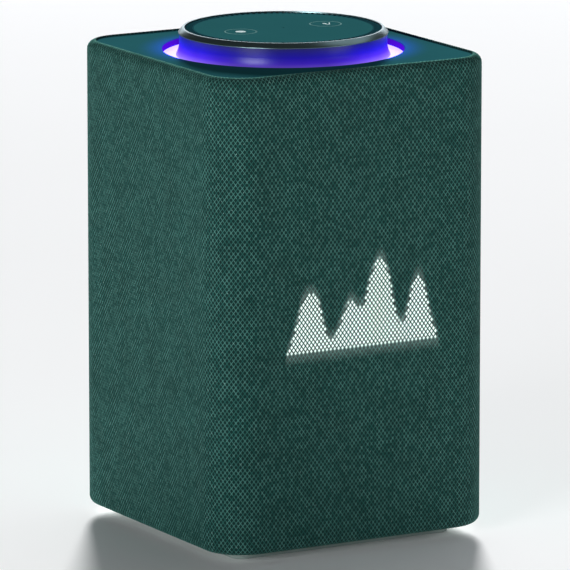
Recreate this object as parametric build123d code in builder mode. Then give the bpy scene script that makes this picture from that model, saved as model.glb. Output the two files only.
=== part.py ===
from build123d import *

import os
from math import cos, radians, sin

# Smart speaker: a square tower with rounded corners, wrapped in a knitted fabric sleeve.
# On top, a raised ring turns round a fixed control panel with two push buttons, and stands
# in a shallow round well whose floor is a light diffuser. Inside are a ported bass
# enclosure with a woofer, two midrange drivers and two tweeters, a light matrix behind
# the front fabric, and the electronics, with their sockets in a bay low on the back.
#
# Millimetres. +Z is up and the origin is on the table under the middle of the body. The
# front, with the light matrix and the drivers, faces -Y. Plan shapes are squares given
# by their half width. A driver's profile is drawn as (radius, y).

# ---- Driving dimensions -------------------------------------------------------------

# Body
width = 141.0  # over the fabric, both ways
corner_radius = 20.0
body_bottom = 4.5  # underside of the fabric, above the table
body_top = 219.5  # top of the fabric
top_edge_radius = 4.0
bottom_edge_radius = 3.6
fabric_thickness = 1.0
shell_wall = 2.0

# Clearances
fit_gap = 0.1  # pieces that slip into each other and are glued or clamped
panel_gap = 0.3  # visible shut lines
turn_gap = 0.2  # between the turning ring and what it turns on
seat_gap = 0.3  # a moving piece above or below its neighbour
thread_gap = 0.05  # screw in its hole

# Foot and base
foot_width = 113.6
foot_corner_radius = 7.0
foot_pad_height = 1.5
base_plate_thickness = 3.0
base_screw_inset = 14.8  # from the foot's side
base_screw_setback = 18.0  # from the enclosure's front and back

# Top panel, light well and what lies under them
panel_drop = 0.7  # panel below the fabric's edge
panel_thickness = 3.0
well_radius = 54.6
finger_gap = 7.3  # between the rim and the well's wall
diffuser_thickness = 2.5
diffuser_ledge = 3.4
led_count = 24
led_size = 3.5
led_height = 1.0
led_to_diffuser = 1.2
board_thickness = 1.6
deck_thickness = 4.0
deck_gap = 0.3  # deck to shell
deck_to_panel = 11.8  # deck's top to the panel's underside
panel_screw_inset = 12.5  # from the panel's edge
boss_radius = 3.5

# Volume ring
rim_rise = 9.5  # rim's top above the panel
rim_height = 2.4
rim_bevel = 2.4
rim_top_width = 0.4
rim_band = 0.35
skirt_wall = 1.7
skirt_flare = 1.5
skirt_flare_height = 5.5
rib_height = 1.5
bearing_height = 1.9
retainer_height = 1.0
retainer_groove = 0.6
encoder_wall = 0.8
encoder_slots = 60
encoder_slot_height = 4.0

# Turret and control panel
turret_wall = 2.0
flange_thickness = 1.5
panel_recess = 0.4  # control panel below the rim's top
slot_count = 96
slot_width = 1.4
slot_depth = 1.5
slot_ring_width = 3.6
control_panel_thickness = 1.8
button_inset = 11.3  # from the control panel's edge to a button
button_radius = 7.1
button_travel = 0.4
button_flange = 1.2
button_flange_thickness = 0.8
button_seat_gap = 0.3
microphone_hole = 0.6
icon_depth = 0.3
microphone_count = 6

# Enclosure and drivers
enclosure_wall = 3.5
enclosure_side_gap = 4.5
enclosure_front_gap = 7.4
enclosure_back_y = 35.0
enclosure_corner_radius = 12.0
back_plate_thickness = 3.0
gasket_thickness = 0.6
woofer_radius = 41.0
woofer_clearance = 2.0  # from the base plate up to its flange
woofer_flange = 2.0
woofer_flange_width = 3.4
pole_radius = 11.0
pole_vent = 3.0
gap_radius = 13.0
plate_radius = 26.0
magnet_hole = 15.0
basket_throat = 21.0
mid_radius = 20.0
mid_flange_width = 2.5
mid_coil = 8.0
mid_drop = 45.0  # axis below the enclosure's top
tweeter_radius = 10.5
tweeter_flange_width = 1.3
tweeter_drop = 13.5
driver_offset = 30.0
port_radius = 12.0
port_wall = 2.0
port_collar = 5.0
port_length = 45.0
rear_boss_length = 14.0
port_drop = 35.0

# Light matrix
matrix_width = 84.0
matrix_height = 42.0
matrix_gap = 1.0  # above the woofer
matrix_guide_thickness = 3.0
window_border = 2.0

# Sound slots in the shell
grille_pitch = 12.0
grille_slot = 7.0
grille_margin = 10.0

# Electronics and the socket bay
board_gap = 7.4  # main board behind the enclosure
bay_width = 72.0
bay_height = 26.0
bay_center = 27.0
bay_depth = 8.0
bay_wall = 1.6
bay_flange = 4.0
socket_depth = 12.0
power_x = -27.0
power_width = 10.0
power_height = 11.0
power_bore_radius = 3.2
power_pin_radius = 1.25
video_x = -10.0
video_width = 15.4
video_height = 6.2
network_x = 10.0
network_width = 16.0
network_height = 13.4
plug_width = 11.8
plug_height = 8.0
latch_width = 6.4
latch_height = 2.4
audio_x = 27.0
audio_width = 8.0
audio_bore_radius = 1.8
sink_x = -12.0
sink_width = 56.0
sink_height = 44.0
fin_count = 9
fin_thickness = 1.4
capacitor_x = 30.0
capacitor_pitch = 10.0

# Screws
screw_radius = 1.2
screw_head_radius = 2.4
screw_head_height = 1.8
case_screw_length = 12.0
short_screw_length = 4.3
base_grip = 4.0  # of base plate under a screw's head
deck_grip = 2.1

# ---- Levels and outlines worked out from them ---------------------------------------

half = width / 2
skin = fabric_thickness + fit_gap
shell_half = half - skin
shell_inner = shell_half - shell_wall
shell_corner = corner_radius - skin

foot_half = foot_width / 2
base_half = half - bottom_edge_radius - panel_gap
base_bottom = body_bottom + 0.5
base_top = base_bottom + base_plate_thickness

panel_top = body_top - panel_drop
panel_bottom = panel_top - panel_thickness
panel_half = half - top_edge_radius - panel_gap
panel_corner = corner_radius - top_edge_radius - panel_gap
diffuser_bottom = panel_bottom - diffuser_thickness
led_board_top = diffuser_bottom - led_to_diffuser - led_height
led_board_bottom = led_board_top - board_thickness
deck_top = panel_bottom - deck_to_panel
deck_bottom = deck_top - deck_thickness
deck_half = shell_inner - deck_gap

rim_outer_radius = well_radius - finger_gap
rim_inner_radius = rim_outer_radius - rim_bevel - rim_top_width
rim_top = panel_top + rim_rise
rim_bottom = rim_top - rim_height
skirt_outer = rim_outer_radius - 0.4
skirt_inner = skirt_outer - skirt_wall
skirt_bottom = panel_bottom + seat_gap

encoder_inner = skirt_inner - encoder_wall
encoder_bottom = deck_top + 2.0
flange_radius = encoder_inner - 0.4
flange_top = panel_top + 0.7
flange_bottom = flange_top - flange_thickness
encoder_top = flange_top - turn_gap
turret_outer = rim_inner_radius - 0.6
turret_inner = turret_outer - turret_wall
column_outer = turret_inner - 0.4
column_inner = column_outer - turret_wall
retainer_seat = turret_outer - retainer_groove
bearing_top = flange_top + bearing_height
rib_bottom = bearing_top + fit_gap
rib_top = rib_bottom + rib_height
retainer_bottom = rib_top + fit_gap
retainer_top = retainer_bottom + retainer_height

control_top = rim_top - panel_recess
control_bottom = control_top - control_panel_thickness
slot_ring_outer = rim_inner_radius - 0.4
slot_ring_inner = slot_ring_outer - slot_ring_width
slot_ring_bottom = control_top - slot_depth - 0.9
control_radius = slot_ring_inner - fit_gap
button_offset = control_radius - button_inset - button_radius
button_board_top = flange_top + board_thickness

enclosure_half = shell_inner - enclosure_side_gap
baffle_front = -(shell_inner - enclosure_front_gap)
enclosure_bottom = base_top
enclosure_top = deck_bottom
back_plate_front = enclosure_back_y + gasket_thickness
back_plate_rear = back_plate_front + back_plate_thickness
woofer_height = enclosure_bottom + woofer_clearance + woofer_radius
mid_height = enclosure_top - mid_drop
tweeter_height = enclosure_top - tweeter_drop
port_height = enclosure_top - port_drop

board_front = back_plate_rear + board_gap
board_rear = board_front + board_thickness
bay_floor = half - bay_depth
bay_bottom = bay_center - bay_height / 2

matrix_center = woofer_height + woofer_radius + matrix_gap + matrix_height / 2
window_width = matrix_width - 2 * window_border
window_height = matrix_height - 2 * window_border

corner_signs = [(-1, -1), (1, -1), (1, 1), (-1, 1)]


# ---- Shapes that repeat -------------------------------------------------------------

cut = Mode.SUBTRACT

# Each of these adds its shape to the piece being built, or cuts it out.


def hoop(inner, outer, low, high, mode=Mode.ADD):
    """An upright ring about the Z axis."""
    with BuildSketch(Plane.XY.offset(low)) as section:
        Circle(outer)
        Circle(inner, mode=cut)
    extrude(section.sketch, amount=high - low, mode=mode)


def turned(profile, x=0.0, z=0.0, mode=Mode.ADD):
    """A (radius, y) profile turned about the line along Y through (x, z)."""
    with BuildSketch(Plane((x, 0, z))) as section:
        with BuildLine():
            Polyline(*profile, close=True)
        make_face()
    revolve(section.sketch, axis=Axis((x, 0, z), (0, 1, 0)), mode=mode)


def bar(x, z, radius, front, rear, mode=Mode.ADD):
    """A round bar or hole along Y, from front to rear."""
    with BuildSketch(Plane.XZ.offset(-front)) as end:
        with Locations((x, z)):
            Circle(radius)
    extrude(end.sketch, amount=front - rear, mode=mode)


def block(x, z, size_x, size_z, front, rear, mode=Mode.ADD):
    """A box along Y, from front to rear, centred on (x, z)."""
    with BuildSketch(Plane.XZ.offset(-front)) as end:
        with Locations((x, z)):
            Rectangle(size_x, size_z)
    extrude(end.sketch, amount=front - rear, mode=mode)


def post(x, y, radius, low, high, mode=Mode.ADD):
    """An upright round post or hole between two levels."""
    with BuildSketch(Plane.XY.offset(low)) as end:
        with Locations((x, y)):
            Circle(radius)
    extrude(end.sketch, amount=high - low, mode=mode)


def upright_screw(x, y, head_low, length):
    """A pan-head screw that points up: its head starts at head_low."""
    head_top = head_low + screw_head_height
    post(x, y, screw_head_radius, head_low, head_top)
    post(x, y, screw_radius, head_top, head_top + length)


def level_screw(x, z, seat, length):
    """A pan-head screw along Y, with its head's underside on seat.

    It points to the rear when length is positive and to the front when it is negative.
    """
    outward = -screw_head_height if length > 0 else screw_head_height
    bar(x, z, screw_head_radius, seat, seat + outward)
    bar(x, z, screw_radius, seat, seat + length)


def tower(half_width, radius, low, high, top_fillet, bottom_fillet):
    """A rounded square block with its top and bottom edges rounded over."""
    with BuildPart() as body:
        with BuildSketch(Plane.XY.offset(low)):
            RectangleRounded(2 * half_width, 2 * half_width, radius)
        extrude(amount=high - low)
        fillet(body.edges().group_by(Axis.Z)[-1], top_fillet)
        fillet(body.edges().group_by(Axis.Z)[0], bottom_fillet)
    return body


def sleeve_layer(inset, wall):
    """The outside and the inside of a layer of the sleeve, as a pair of blocks."""
    layers = []
    for depth in (inset, inset + wall):
        layers.append(
            tower(
                half - depth,
                corner_radius - depth,
                body_bottom + depth,
                body_top - depth,
                top_edge_radius - depth,
                bottom_edge_radius - depth,
            )
        )
    return layers


# ---- Sleeve: knitted fabric over a slotted shell ------------------------------------

top_mouth = half - top_edge_radius
bottom_mouth = half - bottom_edge_radius
top_mouth_corner = corner_radius - top_edge_radius
bottom_mouth_corner = corner_radius - bottom_edge_radius
bay_cut_width = bay_width + 2 * fit_gap
bay_cut_height = bay_height + 2 * fit_gap

fabric_outside, fabric_inside = sleeve_layer(0, fabric_thickness)

with BuildPart() as fabric_sleeve:
    add(fabric_outside)
    add(fabric_inside, mode=cut)
    with BuildSketch(Plane.XY.offset(body_top - half)):
        RectangleRounded(2 * top_mouth, 2 * top_mouth, top_mouth_corner)
    extrude(amount=half, mode=cut)
    with BuildSketch(Plane.XY.offset(body_bottom)):
        RectangleRounded(2 * bottom_mouth, 2 * bottom_mouth, bottom_mouth_corner)
    extrude(amount=half, mode=cut)
    block(0, bay_center, bay_cut_width, bay_cut_height, half - 2, half, cut)

shell_outside, shell_inside = sleeve_layer(skin, shell_wall)

with BuildPart() as grille_shell:
    add(shell_outside)
    add(shell_inside, mode=cut)
    with BuildSketch(Plane.XY.offset(body_top - half)):
        RectangleRounded(2 * top_mouth, 2 * top_mouth, top_mouth_corner)
    extrude(amount=half, mode=cut)
    with BuildSketch(Plane.XY.offset(body_bottom)):
        RectangleRounded(2 * bottom_mouth, 2 * bottom_mouth, bottom_mouth_corner)
    extrude(amount=half, mode=cut)
    # Sound slots on the front, below and above the light matrix, and on both sides.
    columns = int((shell_half - shell_corner) * 2 / grille_pitch)
    lowest = body_bottom + grille_margin
    highest = body_top - 2 * grille_margin
    matrix_bottom = matrix_center - matrix_height / 2 - shell_wall
    matrix_top = matrix_center + matrix_height / 2 + shell_wall
    for low, high in ((lowest, matrix_bottom), (matrix_top, highest)):
        with BuildSketch(Plane.XZ.offset(shell_inner - 1)):
            with Locations((0, (low + high) / 2)):
                with GridLocations(grille_pitch, 1, columns, 1):
                    SlotOverall(high - low, grille_slot, rotation=90)
        extrude(amount=shell_wall + 2, mode=cut)
    side_slot = (highest - lowest - 6) / 2
    with BuildSketch(Plane.YZ.offset(-half)):
        with Locations((0, (lowest + highest) / 2)):
            with GridLocations(grille_pitch, side_slot + 6, columns, 2):
                SlotOverall(side_slot, grille_slot, rotation=90)
    extrude(amount=width, mode=cut)
    # Window for the light guide, hole for the bass port and window for the socket bay.
    block(0, matrix_center, window_width, window_height, -half, -shell_inner + 1, cut)
    bar(0, port_height, port_radius, shell_inner - 1, half, cut)
    block(0, bay_center, bay_cut_width, bay_cut_height, shell_inner - 1, half, cut)

# ---- Foot and base ------------------------------------------------------------------

with BuildPart() as foot_pad:
    with BuildSketch():
        RectangleRounded(foot_width - 1.2, foot_width - 1.2, foot_corner_radius - 0.6)
    extrude(amount=foot_pad_height)
    fillet(foot_pad.edges().group_by(Axis.Z)[0], 0.5)

base_screw_x = foot_half - base_screw_inset
base_screw_rows = (baffle_front + base_screw_setback, enclosure_back_y - base_screw_setback)
base_screw_places = [(side * base_screw_x, y) for side in (-1, 1) for y in base_screw_rows]
base_seat = base_top - base_grip
base_screw_end = base_seat + case_screw_length

with BuildPart() as base_plate:
    with BuildSketch(Plane.XY.offset(foot_pad_height)):
        RectangleRounded(foot_width, foot_width, foot_corner_radius)
    extrude(amount=base_bottom - foot_pad_height)
    fillet(base_plate.edges().group_by(Axis.Z)[0], 0.8)
    with BuildSketch(Plane.XY.offset(base_bottom)):
        RectangleRounded(2 * base_half, 2 * base_half, bottom_mouth_corner - panel_gap)
    extrude(amount=base_plate_thickness)
    for x, y in base_screw_places:
        post(x, y, screw_head_radius + thread_gap, foot_pad_height, base_seat, cut)
        post(x, y, screw_radius + thread_gap, base_seat, base_top, cut)

# ---- Top panel and light well -------------------------------------------------------

boss_place = panel_half - panel_screw_inset
boss_places = [(sx * boss_place, sy * boss_place) for sx, sy in corner_signs]
diffuser_inner = skirt_inner + 1.2
diffuser_outer = well_radius + diffuser_ledge

with BuildPart() as top_panel:
    with BuildSketch(Plane.XY.offset(panel_bottom)):
        RectangleRounded(2 * panel_half, 2 * panel_half, panel_corner)
        Circle(well_radius, mode=cut)
    extrude(amount=panel_thickness)
    upper_edges = top_panel.edges().filter_by(GeomType.CIRCLE).group_by(Axis.Z)[-1]
    fillet(upper_edges.sort_by(SortBy.RADIUS)[-1], 0.4)
    for x, y in boss_places:
        post(x, y, boss_radius, deck_top, panel_bottom)
        post(x, y, screw_radius + thread_gap, deck_top, panel_bottom, cut)

with BuildPart() as light_diffuser:
    hoop(diffuser_inner, diffuser_outer, diffuser_bottom, panel_bottom)

with BuildPart() as led_board:
    hoop(diffuser_inner + 1.2, diffuser_outer - 1.0, led_board_bottom, led_board_top)

with BuildPart() as ring_leds:
    with BuildSketch(Plane.XY.offset(led_board_top)):
        with PolarLocations((skirt_outer + well_radius) / 2 + 1, led_count):
            Rectangle(led_size, led_size)
    extrude(amount=led_height)

# The deck is screwed to the top panel's bosses and to the turret's base from below.
turret_screw_circle = column_inner - 2.4
turret_base_thickness = 3.0
deck_screw_places = list(boss_places)
for turn in range(45, 360, 90):
    x = turret_screw_circle * cos(radians(turn))
    y = turret_screw_circle * sin(radians(turn))
    deck_screw_places.append((x, y))
deck_seat = deck_top - deck_grip

with BuildPart() as top_deck:
    with BuildSketch(Plane.XY.offset(deck_bottom)):
        RectangleRounded(2 * deck_half, 2 * deck_half, shell_corner - shell_wall - deck_gap)
        Circle(turret_screw_circle - 6, mode=cut)
    extrude(amount=deck_thickness)
    for turn in range(45, 360, 90):
        x = (well_radius - 0.6) * cos(radians(turn))
        y = (well_radius - 0.6) * sin(radians(turn))
        post(x, y, 2.5, deck_top, led_board_bottom)
    for x, y in deck_screw_places:
        post(x, y, screw_head_radius + thread_gap, deck_bottom, deck_seat, cut)
        post(x, y, screw_radius + thread_gap, deck_seat, deck_top, cut)

with BuildPart() as deck_screws:
    for x, y in deck_screw_places:
        upright_screw(x, y, deck_seat - screw_head_height, short_screw_length)

# ---- Volume ring: metal rim, skirt and encoder ring turn together -------------------

with BuildPart() as volume_rim:
    with BuildSketch(Plane.XZ):
        with BuildLine():
            Polyline(
                (rim_inner_radius, rim_bottom),
                (rim_outer_radius, rim_bottom),
                (rim_outer_radius, rim_bottom + rim_band),
                (rim_outer_radius - rim_bevel, rim_top),
                (rim_inner_radius, rim_top),
                close=True,
            )
        make_face()
    revolve(axis=Axis.Z)

with BuildPart() as ring_skirt:
    flare_top = skirt_bottom + skirt_flare_height
    with BuildSketch(Plane.XZ):
        with BuildLine():
            Polyline(
                (skirt_outer, flare_top),
                (skirt_outer, rim_bottom),
                (skirt_inner, rim_bottom),
                (skirt_inner, rib_top),
                (turret_outer + turn_gap, rib_top),
                (turret_outer + turn_gap, rib_bottom),
                (skirt_inner, rib_bottom),
                (skirt_inner, skirt_bottom),
                (skirt_outer + skirt_flare, skirt_bottom),
            )
            TangentArc(
                (skirt_outer, flare_top),
                (skirt_outer + skirt_flare, skirt_bottom),
                tangent=(0, -1),
            )
        make_face()
    revolve(axis=Axis.Z)

with BuildPart() as encoder_ring:
    hoop(encoder_inner, skirt_inner, encoder_bottom, encoder_top)
    with BuildSketch(Plane.XY.offset(encoder_bottom)):
        with PolarLocations(encoder_inner + encoder_wall / 2, encoder_slots):
            Rectangle(2 * encoder_wall, 1.6)
    extrude(amount=encoder_slot_height, mode=cut)

# ---- Turret that carries the ring, and what holds the ring on it --------------------

with BuildPart() as turret:
    with BuildSketch(Plane.XZ):
        with BuildLine():
            Polyline(
                (turret_screw_circle - 3, deck_top),
                (column_outer, deck_top),
                (column_outer, flange_bottom),
                (flange_radius, flange_bottom),
                (flange_radius, flange_top),
                (turret_outer, flange_top),
                (turret_outer, retainer_bottom),
                (retainer_seat, retainer_bottom),
                (retainer_seat, retainer_top),
                (turret_outer, retainer_top),
                (turret_outer, slot_ring_bottom),
                (turret_inner, slot_ring_bottom),
                (turret_inner, flange_top),
                (column_inner, flange_top),
                (column_inner, deck_top + turret_base_thickness),
                (turret_screw_circle - 3, deck_top + turret_base_thickness),
                close=True,
            )
        make_face()
    revolve(axis=Axis.Z)
    for x, y in deck_screw_places[len(boss_places) :]:
        post(x, y, screw_radius + thread_gap, deck_top, deck_top + turret_base_thickness, cut)

with BuildPart() as bearing_ring:
    hoop(turret_outer + fit_gap / 2, skirt_inner - turn_gap, flange_top, bearing_top)

with BuildPart() as retainer_ring:
    hoop(retainer_seat + fit_gap / 2, skirt_inner - turn_gap, retainer_bottom, retainer_top)

# Two fork sensors read the encoder ring's slots, a quarter of a slot apart.
fork_width = 6.0
fork_depth = encoder_wall + 3.6
fork_top = encoder_bottom + 3.2

with BuildPart() as encoder_sensors:
    slot_angle = 360 / encoder_slots
    for turn in (90, 90 + 4.25 * slot_angle):
        outward = Vector(cos(radians(turn)), sin(radians(turn)), 0)
        foot = outward * (encoder_inner + encoder_wall / 2) + Vector(0, 0, deck_top)
        fork_plane = Plane(foot, x_dir=outward, z_dir=(0, 0, 1))
        with BuildSketch(fork_plane):
            Rectangle(fork_depth, fork_width)
        extrude(amount=fork_top - deck_top)
        with BuildSketch(fork_plane.offset(encoder_bottom - seat_gap - deck_top)):
            Rectangle(encoder_wall + 1.2, fork_width + 1)
        extrude(amount=fork_top - encoder_bottom + 1, mode=cut)

# ---- Control panel, buttons and their board -----------------------------------------

slot_length = slot_ring_width - 0.4

with BuildPart() as slot_ring:
    hoop(slot_ring_inner, slot_ring_outer, slot_ring_bottom, control_top)
    with BuildSketch(Plane.XY.offset(control_top)):
        with PolarLocations(slot_ring_outer - slot_length / 2 + 0.1, slot_count):
            Rectangle(slot_length + 0.2, slot_width)
    extrude(amount=-slot_depth, mode=cut)

button_places = [(-button_offset, 0), (button_offset, 0)]

with BuildPart() as control_panel:
    with BuildSketch(Plane.XY.offset(control_bottom)):
        Circle(control_radius)
        Circle(microphone_hole, mode=cut)
        with Locations(*button_places):
            Circle(button_radius + turn_gap, mode=cut)
    extrude(amount=control_panel_thickness)
    hoop(control_radius - 2.0, control_radius - 0.2, button_board_top, control_bottom)

with BuildPart() as button_board:
    with BuildSketch(Plane.XY.offset(flange_top)):
        Circle(turret_inner - turn_gap)
    extrude(amount=board_thickness)

button_flange_top = control_bottom - button_seat_gap
stem_bottom = button_flange_top - 1.2
plunger_top = stem_bottom - 0.02

with BuildPart() as tact_switches:
    with BuildSketch(Plane.XY.offset(button_board_top)):
        with Locations(*button_places):
            Rectangle(6.0, 6.0)
    extrude(amount=plunger_top - button_board_top - button_travel - 0.2)
    for x, y in button_places:
        post(x, y, 1.7, button_board_top, plunger_top - button_travel - 0.1)

with BuildPart() as microphones:
    with BuildSketch(Plane.XY.offset(button_board_top)):
        Rectangle(3.8, 3.0)
        with PolarLocations(control_radius - 5.5, microphone_count):
            Rectangle(3.0, 3.8)
    extrude(amount=1.0)


def action_mark():
    """The action button's mark: a plain round dot."""
    with BuildSketch(Plane.XY.offset(control_top)) as mark:
        with Locations((-button_offset, 0)):
            Circle(2.4)
    return mark.sketch


def mute_mark():
    """The mute button's mark: a microphone on its stand, with a bar beside it."""
    with BuildSketch(Plane.XY.offset(control_top)) as mark:
        with Locations((button_offset, 0.7)):
            SlotOverall(3.0, 1.5, rotation=90)
        with Locations((button_offset, -1.7)):
            Rectangle(0.5, 1.0)
        with Locations((button_offset, -2.3)):
            Rectangle(2.2, 0.5)
        with Locations((button_offset + 2.0, 0)):
            Rectangle(0.5, 5.2, rotation=-30)
    return mark.sketch


def button_cap(x, mark):
    """A round push-button with a flange under the panel, a stem and a sunk mark."""
    with BuildPart() as cap:
        post(x, 0, 2.2, stem_bottom, button_flange_top - button_flange_thickness)
        post(
            x,
            0,
            button_radius + button_flange,
            button_flange_top - button_flange_thickness,
            button_flange_top,
        )
        post(x, 0, button_radius, button_flange_top, control_top)
        fillet(cap.edges().group_by(Axis.Z)[-1], 0.25)
        extrude(mark, amount=-icon_depth, mode=cut)
    return cap


def inlay(mark):
    """The light-coloured filling of a button's sunk mark."""
    with BuildPart() as filling:
        extrude(mark, amount=-icon_depth)
    return filling


action_button = button_cap(-button_offset, action_mark())
action_icon = inlay(action_mark())
mute_button = button_cap(button_offset, mute_mark())
mute_icon = inlay(mute_mark())

# ---- Bass enclosure -----------------------------------------------------------------

enclosure_length = enclosure_back_y - baffle_front
enclosure_middle = (enclosure_bottom + enclosure_top) / 2
enclosure_height = enclosure_top - enclosure_bottom
inner_half = enclosure_half - enclosure_wall
inner_height = enclosure_height - 2 * enclosure_wall
baffle_rear = baffle_front + enclosure_wall
woofer_hole = woofer_radius - woofer_flange_width
mid_hole = mid_radius - mid_flange_width
tweeter_hole = tweeter_radius - tweeter_flange_width
mid_places = [(-driver_offset, mid_height), (driver_offset, mid_height)]
tweeter_places = [(-driver_offset, tweeter_height), (driver_offset, tweeter_height)]
woofer_screw_places = []
for turn in range(45, 360, 90):
    reach = woofer_hole + woofer_flange_width / 2 + 0.4
    x = reach * cos(radians(turn))
    z = woofer_height + reach * sin(radians(turn))
    woofer_screw_places.append((x, z))

rear_boss_half = 3.5
rear_boss_x = inner_half - rear_boss_half
rear_boss_reach = inner_height / 2 - rear_boss_half
rear_screw_places = []
for side in (-1, 1):
    for step in (-1, 0, 1):
        rear_screw_places.append((side * rear_boss_x, enclosure_middle + step * rear_boss_reach))

with BuildPart() as enclosure_body:
    with BuildSketch(Plane.XY.offset(enclosure_bottom)):
        with Locations((0, enclosure_back_y)):
            RectangleRounded(2 * enclosure_half, 2 * enclosure_length, enclosure_corner_radius)
        with Locations((0, enclosure_back_y - enclosure_length / 2)):
            Rectangle(2 * enclosure_half, enclosure_length, mode=Mode.INTERSECT)
    extrude(amount=enclosure_height)
    with BuildSketch(Plane.XY.offset(enclosure_bottom + enclosure_wall)):
        with Locations((0, enclosure_back_y + enclosure_wall)):
            RectangleRounded(
                2 * inner_half,
                2 * enclosure_length,
                enclosure_corner_radius - enclosure_wall,
            )
    extrude(amount=inner_height, mode=cut)
    for x, z in rear_screw_places:
        boss = 2 * rear_boss_half
        block(x, z, boss, boss, enclosure_back_y - rear_boss_length, enclosure_back_y)
        hole_end = back_plate_rear - case_screw_length - 0.5
        bar(x, z, screw_radius + thread_gap, hole_end, enclosure_back_y, cut)
    bar(0, woofer_height, woofer_hole, baffle_front, baffle_rear + 1, cut)
    for x, z in mid_places:
        bar(x, z, mid_hole, baffle_front, baffle_rear + 1, cut)
    for x, z in tweeter_places:
        bar(x, z, tweeter_hole, baffle_front, baffle_rear + 1, cut)
    for x, z in woofer_screw_places:
        bar(x, z, screw_radius + thread_gap, baffle_front, baffle_rear, cut)
    # Bosses for the base screws, inside the floor of the enclosure.
    for x, y in base_screw_places:
        post(x, y, 4.0, enclosure_bottom + enclosure_wall, base_screw_end + 1)
        post(x, y, screw_radius + thread_gap, enclosure_bottom, base_screw_end + 0.2, cut)

with BuildPart() as enclosure_gasket:
    gasket_faces = (enclosure_back_y, back_plate_front)
    block(0, enclosure_middle, 2 * enclosure_half, enclosure_height, *gasket_faces)
    block(0, enclosure_middle, 2 * inner_half, inner_height, *gasket_faces, cut)

board_half = enclosure_half - 10
board_bottom = bay_bottom
board_top = port_height - port_radius - port_wall - 10
standoff_inset = 5.0
standoff_places = []
for side in (-1, 1):
    for level in (board_bottom + standoff_inset, board_top - standoff_inset):
        standoff_places.append((side * (board_half - standoff_inset), level))

with BuildPart() as enclosure_back:
    plate_faces = (back_plate_front, back_plate_rear)
    block(0, enclosure_middle, 2 * enclosure_half, enclosure_height, *plate_faces)
    for x, z in standoff_places:
        bar(x, z, 3.0, back_plate_rear, board_front)
    for x, z in rear_screw_places:
        bar(x, z, screw_radius + thread_gap, *plate_faces, cut)
    bar(0, port_height, port_radius + port_wall + fit_gap, *plate_faces, cut)

# One length of screw holds the base under the enclosure and closes its back.
with BuildPart() as case_screws:
    for x, y in base_screw_places:
        upright_screw(x, y, base_seat - screw_head_height, case_screw_length)
    for x, z in rear_screw_places:
        level_screw(x, z, back_plate_rear, -case_screw_length)

port_front = back_plate_front - port_length
port_rear = shell_inner - fit_gap
port_outer = port_radius + port_wall

with BuildPart() as bass_port:
    turned(
        [
            (port_radius, port_front + 4),
            (port_radius + 4, port_front),
            (port_radius + 5.5, port_front + 1),
            (port_outer, port_front + 5.5),
            (port_outer, back_plate_rear),
            (port_outer + port_collar, back_plate_rear),
            (port_outer + port_collar, back_plate_rear + 2),
            (port_outer, back_plate_rear + 2),
            (port_outer, port_rear),
            (port_radius, port_rear),
        ],
        0,
        port_height,
    )

# ---- Woofer -------------------------------------------------------------------------

# The flange lies on the baffle, and y grows into the enclosure.
face = baffle_front
flange_front = face - woofer_flange
motor_front = face + 26.0
plate_rear = motor_front + 5.0
magnet_rear = plate_rear + 12.0
yoke_rear = magnet_rear + 5.0
cone_rim = woofer_radius - 10.0
surround_inner = cone_rim + 1.2
surround_outer = woofer_radius - 6.5
coil_radius = (pole_radius + gap_radius) / 2 + 0.3
coil_bobbin = 0.5
coil_wire = 0.4
cone_back = face + 13.0
spider_y = face + 18.0
basket_wall = 1.5

with BuildPart() as woofer_basket:
    turned(
        [
            (surround_outer, flange_front),
            (woofer_radius, flange_front),
            (woofer_radius, face),
            (woofer_hole - 0.3, face),
            (woofer_hole - 0.5, face + 4),
            (basket_throat + basket_wall, spider_y + 2),
            (basket_throat + basket_wall, motor_front),
            (gap_radius + 1, motor_front),
            (gap_radius + 1, motor_front - basket_wall),
            (basket_throat, motor_front - basket_wall),
            (basket_throat, spider_y),
            (woofer_hole - 2.5, face + 4),
            (woofer_hole - 2.5, face),
        ],
        0,
        woofer_height,
    )
    # Windows in the sloping wall let the cone's rear wave out.
    with BuildSketch(Plane.XZ.offset(-spider_y - 1)):
        with Locations((0, woofer_height)):
            with PolarLocations((basket_throat + woofer_hole) / 2 + 3.5, 6):
                Rectangle(9.0, 16.0)
    extrude(amount=spider_y - face - 4.0, mode=cut)
    for x, z in woofer_screw_places:
        bar(x, z, screw_radius + thread_gap, flange_front, face, cut)

with BuildPart() as woofer_top_plate:
    hub = (gap_radius, plate_radius)
    turned(
        [(hub[0], motor_front), (hub[1], motor_front), (hub[1], plate_rear), (hub[0], plate_rear)],
        0,
        woofer_height,
    )

with BuildPart() as woofer_magnet:
    inside, outside = magnet_hole, plate_radius + 1
    turned(
        [(inside, plate_rear), (outside, plate_rear), (outside, magnet_rear), (inside, magnet_rear)],
        0,
        woofer_height,
    )

with BuildPart() as woofer_yoke:
    turned(
        [
            (pole_vent, motor_front - 0.5),
            (pole_radius, motor_front - 0.5),
            (pole_radius, magnet_rear),
            (plate_radius, magnet_rear),
            (plate_radius, yoke_rear),
            (pole_vent, yoke_rear),
        ],
        0,
        woofer_height,
    )

with BuildPart() as woofer_voice_coil:
    turned(
        [
            (coil_radius - coil_bobbin, cone_back),
            (coil_radius, cone_back),
            (coil_radius, motor_front - 3),
            (coil_radius + coil_wire, motor_front - 3),
            (coil_radius + coil_wire, plate_rear + 3),
            (coil_radius - coil_bobbin, plate_rear + 3),
        ],
        0,
        woofer_height,
    )

with BuildPart() as woofer_cone:
    turned(
        [
            (coil_radius, cone_back),
            (cone_rim, face - 0.8),
            (surround_inner, face - 0.8),
            (surround_inner, face),
            (cone_rim + 0.4, face),
            (coil_radius, cone_back + 1.2),
        ],
        0,
        woofer_height,
    )

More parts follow.
